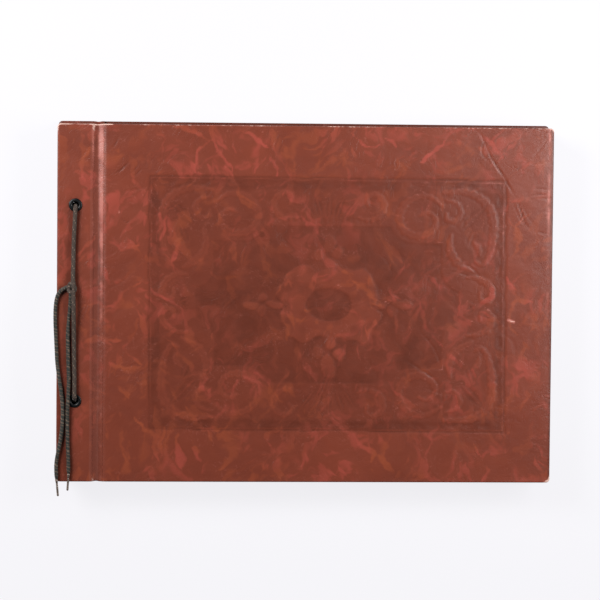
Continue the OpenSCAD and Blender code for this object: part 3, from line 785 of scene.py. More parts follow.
def cloud(x, y, size, seed):
    """Smooth random heights from -1 to 1, with hills about size apart."""
    knots = np.random.default_rng(seed).uniform(-1, 1, (64, 64))
    u = np.asarray(x) / size
    v = np.asarray(y) / size
    i = np.floor(u).astype(int)
    j = np.floor(v).astype(int)
    s = smooth(u - i, 0, 1)
    t = smooth(v - j, 0, 1)
    a = knots[i % 64, j % 64] * (1 - s) + knots[(i + 1) % 64, j % 64] * s
    b = knots[i % 64, (j + 1) % 64] * (1 - s) + knots[(i + 1) % 64, (j + 1) % 64] * s
    return a * (1 - t) + b * t


def curve_through(points, step):
    """Points a step apart on a smooth curve through the given ones, and how far along each lies, 0 to 1."""
    p = np.array(points, float)
    padded = np.vstack([2 * p[0] - p[1], p, 2 * p[-1] - p[-2]])
    s = np.linspace(0, 1, 24, endpoint=False)[:, None]
    dense = [b + (c - a) / 2 * s + (2 * a - 5 * b + 4 * c - d) / 2 * s**2 + (3 * b - a - 3 * c + d) / 2 * s**3
             for a, b, c, d in zip(padded, padded[1:], padded[2:], padded[3:])]
    dense = np.vstack(dense + [p[-1:]])
    run = np.concatenate([[0], np.cumsum(np.linalg.norm(np.diff(dense[:, :3], axis=0), axis=1))])
    at = np.linspace(0, run[-1], max(2, round(run[-1] / step) + 1))
    return np.stack([np.interp(at, run, column) for column in dense.T], axis=1), at / run[-1]


def distance_to(gx, gy, path, along, reach):
    """Distance from each grid point to a path, at most reach, and how far along the nearest place is."""
    best = np.full(gx.shape, float(reach))
    where = np.zeros(gx.shape)
    low = path.min(axis=0) - reach
    high = path.max(axis=0) + reach
    near = (gx > low[0]) & (gx < high[0]) & (gy > low[1]) & (gy < high[1])
    x = gx[near]
    y = gy[near]
    nearest = best[near]
    place = where[near]
    for a, b, sa, sb in zip(path, path[1:], along, along[1:]):
        d = b - a
        t = np.clip(((x - a[0]) * d[0] + (y - a[1]) * d[1]) / (d @ d), 0, 1)
        gap = np.hypot(x - a[0] - t * d[0], y - a[1] - t * d[1])
        closer = gap < nearest
        nearest = np.where(closer, gap, nearest)
        place = np.where(closer, sa + t * (sb - sa), place)
    best[near] = nearest
    where[near] = place
    return best, where


def inside(gx, gy, corners):
    """Whether each grid point is in a polygon."""
    odd = np.zeros(gx.shape, bool)
    for (ax, ay), (bx, by) in zip(corners, corners[1:] + corners[:1]):
        if ay != by:
            odd ^= ((ay > gy) != (by > gy)) & (gx < (bx - ax) * (gy - ay) / (by - ay) + ax)
    return odd


def polygon_depth(gx, gy, corners, reach):
    """How far inside a polygon each grid point is, below 0 outside."""
    loop = np.array(corners + corners[:1], float)
    gap, _ = distance_to(gx, gy, loop, np.arange(len(loop)), reach)
    return np.where(inside(gx, gy, corners), gap, -gap)


def laid(value, target, mask):
    """A value with a target in its place where mask is 1."""
    return value * (1 - mask) + target * mask


def field_corners():
    """The quarter of the plain field, which reaches past both of its own axes."""
    r = FIELD_SCROLL_R
    over = (FIELD_CORNER[0] - FIELD_SHOULDER[0], FIELD_CORNER[1] + r)
    beside = (FIELD_CORNER[0] + r, FIELD_CORNER[1] - FIELD_SHOULDER[1])
    a = math.asin((over[1] - FIELD_H / 2) / r)
    b = math.acos((beside[0] - FIELD_W / 2) / r)

    def arc(x, y, start, end):
        return [(x + r * math.cos(t), y + r * math.sin(t)) for t in np.linspace(start, end, 9)]

    upper = arc(*over, math.pi + a, 1.5 * math.pi)
    lower = arc(*beside, math.pi, math.pi + b)
    return [(-20, -20), (-20, FIELD_H / 2), *upper, FIELD_CORNER, *lower, (FIELD_W / 2, -20)]


def scrolls_and_leaves(x, y, height, painted_shade, light):
    """Raised scrolls, broadest in the middle, and leaves, hollow with a rib, in the ornamental band, with
    painted highlights along their edges and painted shade in their hollows.
    """
    for points, broad in SCROLLS:
        path, along = curve_through(points, SCROLL_STEP)
        gap, s = distance_to(x, y, path, along, 6)
        lobes = np.cos(s * len(path) * SCROLL_STEP * 2 * np.pi / LOBE_PITCH)
        half = broad * (0.35 + 0.65 * np.sin(np.pi * s)) * (1 + 0.2 * lobes)
        band = 1 - smooth(gap, half - 0.3, half + 0.6)
        vein = bell(gap, 0.45) * smooth(half, 1.2, 2.0) * band
        height = laid(height, SCROLL_LEVEL - 0.22 * (gap / (1.3 * half)) ** 2, band) - 0.2 * vein
        painted_shade = painted_shade * (1 - band) + 0.3 * vein
        light = np.maximum(light, 0.7 * bell(gap - half, 0.5) * (gap < 5.9) * (0.75 + 0.25 * lobes))
        height = height - 0.3 * bell(gap - half - 0.9, 0.6)
    for base, tip, width in LEAVES:
        base = np.array(base, float)
        tip = np.array(tip, float)
        length = np.linalg.norm(tip - base)
        along_leaf = (tip - base) / length
        s = ((x - base[0]) * along_leaf[0] + (y - base[1]) * along_leaf[1]) / length
        off = np.abs((x - base[0]) * -along_leaf[1] + (y - base[1]) * along_leaf[0])
        half = np.where((s > 0) & (s < 1), width * 0.62 * np.sin(np.pi * np.clip(s, 0, 1) ** 0.7), -2)
        blade = smooth(half - off, -0.2, 0.6)
        height = laid(height, 0.5 * bell(off, 0.6) - 0.75, blade)
        painted_shade = np.maximum(painted_shade * (1 - 0.5 * blade), 0.85 * blade * (1 - 0.7 * bell(off, 0.6)))
        light = np.maximum(light, 0.7 * bell(off - half, 0.5) * (half > 0))
    return height, painted_shade, light


def field_and_plaque(gx, gy, height, painted_shade, light):
    """Plain field pressed below the band, its raised plaque with finials, and the plaque's hollow oval, with
    painted shade and painted highlights.
    """
    depth = polygon_depth(np.abs(gx), np.abs(gy), field_corners(), 6)
    field = smooth(depth, -0.4, 0.8)
    height = laid(height, FIELD_LEVEL, field)
    painted_shade = laid(painted_shade, 0.9, field)
    light = np.maximum(light * (1 - field), 0.75 * bell(depth + 0.9, 0.6))
    qx = np.abs(gx + 2.4 * cloud(gx, gy, 9, 51))
    qy = np.abs(gy + 2.4 * cloud(gx, gy, 9, 52))
    plaque = polygon_depth(qx, qy, PLAQUE, 6)
    plaque = np.where((qx < 30) & (qy < 20), 6, plaque)
    for (cx, cy), w, h in FINIALS:
        gap = 1 - np.hypot((qx - cx) / (w / 2), (qy - cy) / (h / 2))
        plaque = np.maximum(plaque, gap * min(w, h) / 2)
    raised = smooth(plaque, -0.3, 1.0)
    height = laid(height, -0.12 + 0.12 * smooth(plaque, 0.5, 4), raised)
    painted_shade = laid(painted_shade, np.clip(0.1 + 0.5 * cloud(gx, gy, 6, 53), 0, 0.5), raised)
    light = np.maximum(light, np.clip(0.25 + 0.5 * cloud(gx, gy, 9, 54), 0, 0.7) * bell(plaque - 0.2, 0.6))
    oval = (1 - np.hypot(gx / (OVAL_W / 2), gy / (OVAL_H / 2))) * OVAL_H / 2
    hollow = smooth(oval, -0.4, 0.8)
    height = laid(height, OVAL_LEVEL, hollow)
    painted_shade = laid(painted_shade, 0.95, hollow)
    light = np.maximum(light * (1 - hollow), 0.6 * bell(oval + 0.6, 0.7))
    return height, painted_shade, light


def embossing(gx, gy):
    """Height of the design from -1 to 0, its painted shade, its painted highlights, and a painted highlight
    inside the frame's line, from the middle of the frame.
    """
    x = np.abs(gx)
    y = np.abs(gy)
    edge = np.maximum(x - FRAME_W / 2, y - FRAME_H / 2)
    within = smooth(-edge, FRAME_LINE, FRAME_LINE + 1.2)
    painted_shade = (0.52 + 0.35 * (1 - smooth(-edge, 6.5, 10))) * within
    height, painted_shade, light = scrolls_and_leaves(x, y, BAND_LEVEL * within, painted_shade, np.zeros(x.shape))

    # Flutes over the field's long edges, with painted shade in them
    above = y - FIELD_H / 2
    flutes = smooth(above, 0.8, 1.6) * (1 - smooth(above, 5, 6)) * (1 - smooth(x, 30, 36))
    flutes = flutes * (np.cos(x * 2 * np.pi / FLUTE_PITCH) > 0.1)
    height = height - 0.3 * flutes
    painted_shade = np.maximum(painted_shade, 0.6 * flutes)
    height, painted_shade, light = field_and_plaque(gx, gy, height, painted_shade, light)

    # Blocks just inside the frame, and the frame's line: painted shade in both, and a painted highlight just
    # inside the line
    inset = FRAME_LINE + BLOCK_GAP + BLOCK_H / 2
    for along, across, half_l, half_a in ((x, y, FRAME_W / 2, FRAME_H / 2), (y, x, FRAME_H / 2, FRAME_W / 2)):
        last = math.floor((half_l - 2 * inset) / BLOCK_PITCH)
        nearest = np.minimum(np.round(along / BLOCK_PITCH), last) * BLOCK_PITCH
        block = smooth(BLOCK_W / 2 - np.abs(along - nearest), -0.3, 0.5)
        block = block * smooth(BLOCK_H / 2 - np.abs(across - (half_a - inset)), -0.3, 0.5)
        height = laid(height, BLOCK_LEVEL, block)
        painted_shade = np.maximum(painted_shade, 0.85 * block)
    line = bell(edge + FRAME_LINE / 2, 0.8)
    height = laid(height, LINE_LEVEL, line)
    painted_shade = np.maximum(painted_shade * (1 - line), line)
    return height, painted_shade, light, bell(edge + 2.0, 0.7) * (edge < 0)


def covering_marks(gx, gy):
    """Streaks, folds and their lips, scuffs and painted glints of the front's covering, on the album."""
    streak = np.zeros(gx.shape)
    fold = np.zeros(gx.shape)
    lip = np.zeros(gx.shape)
    scuff_and_glint = np.zeros(gx.shape)
    wx = gx + 1.6 * cloud(gx, gy, 6, 41) + 0.9 * cloud(gx, gy, 2.6, 43)
    wy = gy + 1.6 * cloud(gx, gy, 6, 42) + 0.9 * cloud(gx, gy, 2.6, 44)
    for points, width in STREAKS:
        gap, s = distance_to(wx, wy, *curve_through(points, 1.5), width)
        half = width / 2 * (0.35 + 0.65 * np.sin(np.pi * s)) * (1 + 0.5 * cloud(gx, gy, 5, 3))
        strength = 0.75 + 0.35 * cloud(gx, gy, 8, 45)
        streak = np.maximum(streak, (1 - smooth(gap, 0.1 * half, 1.3 * half)) * strength)
    for points, width, depth in CREASES:
        gap, s = distance_to(gx, gy, *curve_through(points, 0.8), 4)
        taper = depth * np.sin(np.pi * (0.06 + 0.88 * s)) * (gap < 3.9) * (0.75 + 0.5 * cloud(gx, gy, 5, 46))
        fold = np.maximum(fold, taper * bell(gap, width))
        lip = np.maximum(lip, taper * bell(gap - width * 1.7, width))
    for points, width, strength in SCUFFS_AND_GLINTS:
        gap, _ = distance_to(gx, gy, *curve_through(points, 0.5), 3)
        scuff_and_glint = np.maximum(scuff_and_glint, strength * bell(gap, width * 0.7) * (gap < 2.9))
    return streak, fold, lip, scuff_and_glint


def corner_rounded(gx, gy, corner, way, radius, reach=6.0):
    """Moves grid points near a corner so that the outer ones lie on its arc."""
    u = way[0] * (gx - corner[0]) + reach
    v = way[1] * (gy - corner[1]) + reach
    close = (u > 1e-9) & (v > 1e-9)
    u = np.where(close, u, 1)
    v = np.where(close, v, 1)
    far = np.maximum(u, v)
    length = np.hypot(u, v)
    to_square = reach * length / far
    k = reach - radius
    along = k * (u + v) / length
    to_arc = along + np.sqrt(np.maximum(along**2 - 2 * k**2 + radius**2, 0))
    on_arc = np.minimum(u, v) * reach / far > k
    factor = np.where(on_arc, to_arc / to_square, 1)
    factor = 1 + (factor - 1) * (far / reach) ** 3
    moved_x = corner[0] + way[0] * (u * factor - reach)
    moved_y = corner[1] + way[1] * (v * factor - reach)
    return np.where(close, moved_x, gx), np.where(close, moved_y, gy)


def lines(low, high, step, fine=()):
    """Grid lines from low to high about a step apart, or as fine says: (from, to, step) in order."""
    stops = [low]
    for a, b, s in [*fine, (high, high, step)]:
        a = max(a, low)
        b = min(b, high)
        if a > stops[-1]:
            stops += list(np.linspace(stops[-1], a, max(1, math.ceil((a - stops[-1]) / step)) + 1)[1:])
        if b > stops[-1]:
            stops += list(np.linspace(stops[-1], b, max(1, math.ceil((b - stops[-1]) / s)) + 1)[1:])
    return np.array(stops)


def both_rounded(gx, gy, x, y, way, radius):
    """Rounds both corners of a grid at one of its ends, at x and at y on either side."""
    for side in (-1, 1):
        gx, gy = corner_rounded(gx, gy, (x, side * y), (way, side), radius)
    return gx, gy


def grid(xs, ys):
    """Places of a grid's points, a row for each x."""
    return np.meshgrid(xs, ys, indexing="ij")


def columns(*grids):
    """Grids as the columns of one list of points."""
    return np.stack([np.ravel(values) for values in grids], axis=1)


def grid_faces(shape):
    """Numbers of a grid's points, its faces, and its edge as one loop."""
    index = np.arange(shape[0] * shape[1]).reshape(shape)
    quads = np.stack([index[:-1, :-1], index[1:, :-1], index[1:, 1:], index[:-1, 1:]], axis=-1).reshape(-1, 4)
    loop = np.concatenate([index[:, 0], index[-1, 1:], index[-2::-1, -1], index[0, -2:0:-1]])
    return index, quads, loop


def ring_faces(loop, first, rings, closed):
    """Faces from an edge loop down through the rings after it, and the numbers of the last ring."""
    rows = [loop, *(first + np.arange(rings * len(loop)).reshape(rings, -1))]
    faces = []
    for upper, lower in zip(rows, rows[1:]):
        ring = np.stack([upper, lower, np.roll(lower, -1), np.roll(upper, -1)], axis=1)
        faces += (ring if closed else ring[:-1]).tolist()
    return faces, rows[-1]


def in_scene(name, data):
    """A new object of the scene."""
    made = bpy.data.objects.new(name, data)
    bpy.context.scene.collection.objects.link(made)
    return made


def cleaned(mesh, outwards=False):
    """Merges points that meet, and turns every face outwards where asked."""
    work = bmesh.new()
    work.from_mesh(mesh)
    bmesh.ops.remove_doubles(work, verts=work.verts, dist=MERGE)
    if outwards:
        bmesh.ops.recalc_face_normals(work, faces=work.faces)
    work.to_mesh(mesh)
    work.free()


def point_values(mesh, layers):
    """Stores a number or a vector at each point of a mesh."""
    for name, values in layers.items():
        values = np.asarray(values, np.float32)
        kind, field = ("FLOAT_VECTOR", "vector") if values.ndim == 2 else ("FLOAT", "value")
        mesh.attributes.new(name, kind, "POINT").data.foreach_set(field, values.ravel())


def new_piece(name, points, faces, material, attributes=None, smooth_shaded=True, flip=False):
    """A closed mesh from points in millimetres, merged where points meet."""
    mesh = bpy.data.meshes.new(name)
    if flip:
        faces = [tuple(reversed(face)) for face in faces]
    mesh.from_pydata((np.asarray(points, float) * MM).tolist(), [], faces)
    point_values(mesh, attributes or {})
    cleaned(mesh)
    mesh.shade_smooth() if smooth_shaded else mesh.shade_flat()
    mesh.materials.append(material)
    return in_scene(name, mesh)


def baked(piece):
    """The piece with its modifiers worked into a plain mesh."""
    graph = bpy.context.evaluated_depsgraph_get()
    mesh = bpy.data.meshes.new_from_object(piece.evaluated_get(graph))
    piece.modifiers.clear()
    old = piece.data
    piece.data = mesh
    mesh.name = piece.name
    bpy.data.meshes.remove(old)
    return piece


def facing_out(piece):
    """Merges doubles and turns every face outwards."""
    cleaned(piece.data, outwards=True)
    return piece


def shoulder_drop(x):
    """How far the covering lies under the panel's face on the slope up from the groove."""
    width = bpy.context.scene.album_sizes.shoulder / MM
    s = np.clip((np.asarray(x, float) - GROOVE_X1 + SHOULDER_IN) / width + 0.5, 0, 1)
    low = np.minimum(s, SHOULDER_EASE)
    high = np.maximum(s - 1 + SHOULDER_EASE, 0)
    straight = np.clip(s - SHOULDER_EASE, 0, 1 - 2 * SHOULDER_EASE)
    risen = low**2 / (2 * SHOULDER_EASE) + straight + high - high**2 / (2 * SHOULDER_EASE)
    return SLOPE_RISE * (1 - risen / (1 - SHOULDER_EASE))


def rim_drop(x):
    """How far covering and board fall towards the fore edge."""
    slow = smooth(x, FORE_X - RIM_W, FORE_X + RIM_PAST) ** 1.5
    return RIM_DROP * slow + RIM_EDGE_DROP * np.clip((x - FORE_X + RIM_EDGE_W) / RIM_EDGE_W, 0, 1) ** 2


def slope_shine(x, y):
    """Painted highlight on the slope up from the groove, with some rubbing: most at its top end."""
    along = 0.3 + 0.7 * smooth(y, -60, 90)
    middle = 0.3 + 1.3 * (1 - smooth(y, 40, 110))
    shine = along * 1.25 * bell(x - GROOVE_X1 + 1.9 - middle * 0.3, 1.6 + 0.9 * smooth(y, 30, 100))
    return shine * np.clip(0.85 + 0.4 * cloud(x * 0.5, y, 9, 17), 0, 1.1)


def ring_wear(px, py, front):
    """How far the covering is worn through along its edge."""
    top = smooth(py, COVER_H / 2 - 3, COVER_H / 2 - 1.5)
    worn = 0.12 + 0.42 * top * (1 + 0.5 * cloud(px, py, 34, 11)) + 0.12 * cloud(px, py, 17, 12)
    worn = worn + 0.3 * top * smooth(-px, 138, 142) + 0.3 * smooth(py, 95, 125) * smooth(-px, 176, 177.5)
    for cx, cy, reach, amount in WORN_CORNERS:
        worn = worn + amount * bell(np.hypot(px - cx, py - cy), reach)
    return worn if front else worn * 0.3


def panel_face(gx, gy, height):
    """The front panel's face: its height, painted shade, painted highlights, folds, streaks and wear."""
    sizes = bpy.context.scene.album_sizes
    across = gx - PANEL_MID

    # The plate was pressed a little askew
    wx = across * np.where(gx < PANEL_MID, 0.985, 1) + 0.5 * cloud(gx, gy, 7, 31)
    wx += 0.009 * np.minimum(gy, 0)
    wy = gy * 0.99 + 0.0075 * across + 0.5 * cloud(gx, gy, 7, 32)
    relief, painted_shade, light, frame_highlight = embossing(wx, wy)
    fade = 0.74 + 0.26 * smooth(gx + gy, -120, 120)
    fade = fade + 0.2 * cloud(gx, gy, 27, 21) + 0.12 * cloud(gx, gy, 8, 22)
    height = height + sizes.relief / MM * relief * fade
    # Painted highlights on the design, stronger towards the right side
    light = light * np.clip(fade - 0.2, 0, 1) * np.clip(0.55 + 0.6 * cloud(gx, gy, 14, 24), 0.1, 1)
    light = light * np.clip(0.8 + 0.7 * cloud(gx, gy, 4, 26), 0.1, 1.3) * (0.4 + 0.7 * smooth(across, 0, 110))
    lit_side = smooth(across, 20, 120) + 0.6 * smooth(-across, 118, 124) * smooth(gy, -40, 60)
    light = np.maximum(light, frame_highlight * (0.12 + 0.5 * lit_side) * (0.85 + 0.3 * cloud(gx, gy, 11, 25)))
    painted_shade = painted_shade * np.clip(0.82 + 0.2 * cloud(gx, gy, 19, 23), 0, 1)

    streak, fold, lip, scuff_and_glint = covering_marks(gx, gy + MARKS_Y)
    height = height + sizes.crease / MM * (0.45 * lip - fold)
    # Painted highlight beside the folds, stronger on the right
    light = np.maximum(light, (0.3 + 0.25 * smooth(gx, 60, 140)) * lip)

    # Painted highlight line and painted shade along the fore edge
    along_rim = (0.2 + 0.8 * smooth(gy, -60, 100)) * (0.8 + 0.4 * cloud(gx, gy, 16, 27))
    rim_highlight = bell(gx - FORE_X + 3.2, 1.1) * np.clip(0.9 + 0.8 * cloud(gx, gy, 6, 28), 0.2, 1.3)
    light = np.maximum(light, (0.45 * bell(gx - FORE_X + 3.8, 2.8) + 0.75 * rim_highlight) * along_rim)
    painted_shade = np.maximum(painted_shade, 0.8 * smooth(gx, FORE_X - 2.4, FORE_X - 0.9))
    # Painted glints at the small marks; the strongest marks are also worn pale
    light = np.maximum(light, 1.5 * scuff_and_glint)
    worn_corner = 1.3 * bell(np.hypot(gx - FORE_X, gy + COVER_H / 2), 3.6)
    worn = np.maximum(0.9 * smooth(scuff_and_glint, 0.65, 0.9), worn_corner)
    return height, painted_shade, light, fold, streak, worn


def panel_covering(cover):
    """Covering of a main panel: top, rounded edges, turned-in border and inner faces, as one closed skin."""
    decorated = cover.up > 0
    x0 = GROOVE_X1 + GROOVE_LAP
    x1 = FORE_X - EDGE_R
    half = COVER_H / 2 - EDGE_R
    if decorated:
        in_frame_x = (PANEL_MID - FRAME_W / 2 - 3, PANEL_MID + FRAME_W / 2 + 3, FRAME_STEP)
        in_frame_y = (-FRAME_H / 2 - 3, FRAME_H / 2 + 3, FRAME_STEP)
        xs = lines(x0, x1, FACE_STEP, [(x0, x0 + 5, 0.7), in_frame_x, (x1 - 2.5, x1, 0.75)])
        ys = lines(-half, half, FACE_STEP, [(-half, 1.5 - half, 0.75), in_frame_y, (half - 1.5, half, 0.75)])
    else:
        xs = lines(x0, x1, PLAIN_STEP, [(x0, x0 + 7, 0.8), (x1 - 3, x1, 1.0)])
        ys = lines(-half, half, PLAIN_STEP, [(-half, 3 - half, 1.0), (half - 3, half, 1.0)])
    gx, gy = grid(xs, ys)
    height = 0.06 * cloud(gx, gy, 31, 5) - 0.06
    painted_shade, light, fold, streak, worn = np.zeros((5, *gx.shape))
    if decorated:
        height, painted_shade, light, fold, streak, worn = panel_face(gx, gy, height)
    height *= smooth(np.minimum(x1 - gx, half - np.abs(gy)), 0, 2.5)
    height -= rim_drop(gx)
    # Painted highlight on the slope up from the groove
    light = np.maximum(light, slope_shine(gx, gy))
    height -= shoulder_drop(gx)
    px, py = both_rounded(gx, gy, x1, half, 1, CORNER_R - EDGE_R)
    _, faces, loop = grid_faces(gx.shape)
    points = [columns(px, py, COVER_T + height)]
    marks = [columns(painted_shade, light, fold)]
    wear = [np.maximum(worn.ravel(), 0)]

    # Rings round the edge: out and down the outer rounding, then in under the inner one, with painted shade
    # growing down the rounding and at the fore edge
    flat = points[0][loop]
    ahead = np.roll(flat, -1, axis=0)[:, :2] - np.roll(flat, 1, axis=0)[:, :2]
    ahead /= np.linalg.norm(ahead, axis=1)[:, None]
    out = columns(ahead[:, 1], -ahead[:, 0])
    at_groove = flat[:, 0] < x0 + 0.01
    sideways = np.where(np.abs(flat[at_groove, 1]) > half - 0.01, np.sign(flat[at_groove, 1]), 0)
    out[at_groove] = columns(np.full(at_groove.sum(), -GROOVE_LAP / EDGE_R), sideways)
    edge_wear = ring_wear(flat[:, 0], flat[:, 1], decorated)
    pale = np.clip(edge_wear - 0.05, 0, 1)
    zeros = np.zeros(len(loop))
    profile = [(a, COVER_T - EDGE_R * (1 - math.cos(a)), 1.0) for a in np.radians((18, 36, 54, 72, 90))]
    profile += [(a, LINING_T + EDGE_R * (1 - math.cos(a)), 0.5) for a in np.radians((90, 60, 30, 0))]
    for a, z, amount in profile:
        share = max(0.0, (z - LINING_T) / (COVER_T - LINING_T))
        ring_x, ring_y = (flat[:, :2] + out * (EDGE_R * math.sin(a))).T
        points.append(columns(ring_x, ring_y, z + (flat[:, 2] - COVER_T) * share))
        low = zeros + (0.9 - 0.6 * share if decorated else 1.4 - 0.9 * share)
        low[flat[:, 0] > FORE_X - EDGE_R - 0.1] += 0.7
        shine = amount * bell(z - COVER_T, 0.8) * (1.1 if decorated else 0.2)
        marks.append(columns(low, pale * shine, zeros))
        wear.append(edge_wear * (0.2 + 0.8 * amount * bell(z - (COVER_T - 0.25), 0.6)))

    # Turned-in border, and the inner faces round the board
    turned_y = COVER_H / 2 - TURN_IN
    turned_in = columns(np.clip(flat[:, 0], GROOVE_X1 + LEATHER_T, FORE_X - TURN_IN),
                        np.clip(flat[:, 1], -turned_y, turned_y))
    board_edge = board_outline(flat, out)
    board_top = COVER_T - LEATHER_T - shoulder_drop(board_edge[:, 0]) - rim_drop(board_edge[:, 0])
    inset = columns(np.clip(board_edge[:, 0], GROOVE_X1 + 5, FORE_X - RIM_W), board_edge[:, 1])
    hidden = ((turned_in, LINING_T), (turned_in, LINING_T + LEATHER_T), (board_edge, LINING_T + LEATHER_T),
              (board_edge, board_top), (inset, COVER_T - LEATHER_T))
    for ring_xy, z in hidden:
        points.append(columns(*ring_xy.T, zeros + z))
        marks.append(columns(zeros + 0.9, zeros, zeros))
        wear.append(zeros)
    rings = len(profile) + len(hidden)
    around, last = ring_faces(loop, gx.size, rings, closed=True)
    attributes = {"marks": np.vstack(marks), "worn": np.concatenate(wear),
                  "streak": np.concatenate([streak.ravel(), np.zeros(rings * len(loop))])}
    return new_piece(f"{cover.name}_panel_covering", cover.at(np.vstack(points), cover.panel_base),
                     [*faces.tolist(), *around, last[::-1].tolist()], finish("embossed leather"),
                     attributes, flip=not decorated)


def board_outline(flat, out):
    """Outline of the board under a panel's covering."""
    edge = flat[:, :2] + out * (EDGE_R - LEATHER_T - BOARD_AIR)
    return columns(np.maximum(edge[:, 0], GROOVE_X1 + LEATHER_T), edge[:, 1])


def board_sheet(cover):
    """Board of a main panel, pressed thin along the groove."""
    half = COVER_H / 2 - LEATHER_T - BOARD_AIR
    x0 = GROOVE_X1 + LEATHER_T + BOARD_AIR
    x1 = FORE_X - LEATHER_T - BOARD_AIR
    xs = lines(x0, x1, 12.0, [(x0, x0 + 4, 0.8), (x1 - 8, x1, 1.0)])
    ys = lines(-half, half, 12.0, [(-half, 4 - half, 1.0), (half - 4, half, 1.0)])
    gx, gy = grid(xs, ys)
    top = COVER_T - LEATHER_T - BOARD_AIR - shoulder_drop(gx) - rim_drop(gx)
    px, py = both_rounded(gx, gy, x1, half, 1, CORNER_R - LEATHER_T)
    points, faces = slab(px, py, top, np.full(gx.shape, LINING_T + LEATHER_T + BOARD_AIR))
    return new_piece(f"{cover.name}_board_sheet", cover.at(points, cover.panel_base), faces,
                     finish("binders board"), smooth_shaded=False, flip=cover.up < 0)


def slab(gx, gy, over, under):
    """Points and faces of a closed sheet over a grid."""
    _, quads, loop = grid_faces(gx.shape)
    points = np.vstack([columns(gx, gy, z) for z in (over, under)])
    walls = columns(loop, loop + gx.size, np.roll(loop, -1) + gx.size, np.roll(loop, -1))
    return points, quads.tolist() + (quads[:, ::-1] + gx.size).tolist() + walls.tolist()


def groove_height(x, drop):
    """Height of the covering over strip and groove, from the strip's inner face."""
    s = np.clip((x - GROOVE_X0) / (GROOVE_X1 - GROOVE_X0), 0, 1)
    if drop > 0:
        fall = np.clip((x - GROOVE_X0) / GROOVE_FALL_W, 0, 1)
        bottom = COVER_T - drop - SLOPE_RISE
        web = bottom + (GROOVE_LIP_Z - bottom) * (1 - fall) ** 1.8 + SLOPE_RISE - shoulder_drop(x)
    else:
        web = LINING_T + LEATHER_T + BACK_FOLD_H * np.abs(2 * s - 1) ** 3 - s * drop
    strip = COVER_T - STRIP_EDGE_DROP * np.clip((x - GROOVE_X0) / STRIP_EDGE_W + 1, 0, 1.2) ** 3
    return laid(strip, web, smooth(x, GROOVE_X0 - 0.3, GROOVE_X0 + 0.9))


def cord_shadow_and_grime(gx, gy, mid_y):
    """Painted shadow and grime on the front strip round the cord."""
    shadow_and_grime = np.zeros(gx.shape)
    for route in (UPPER_RUN + [(EYELET_X, 68, 0)], LOWER_RUN + [(EYELET_X, -68, 0)], LEFT_ROUTE, RIGHT_ROUTE):
        gap, _ = distance_to(gx, gy, *curve_through([(x, y - mid_y) for x, y, _ in route], 2.0), 10)
        shadow_and_grime = np.maximum(shadow_and_grime, 0.75 * bell(gap, 5.0) * (gap < 9.9))
    return shadow_and_grime


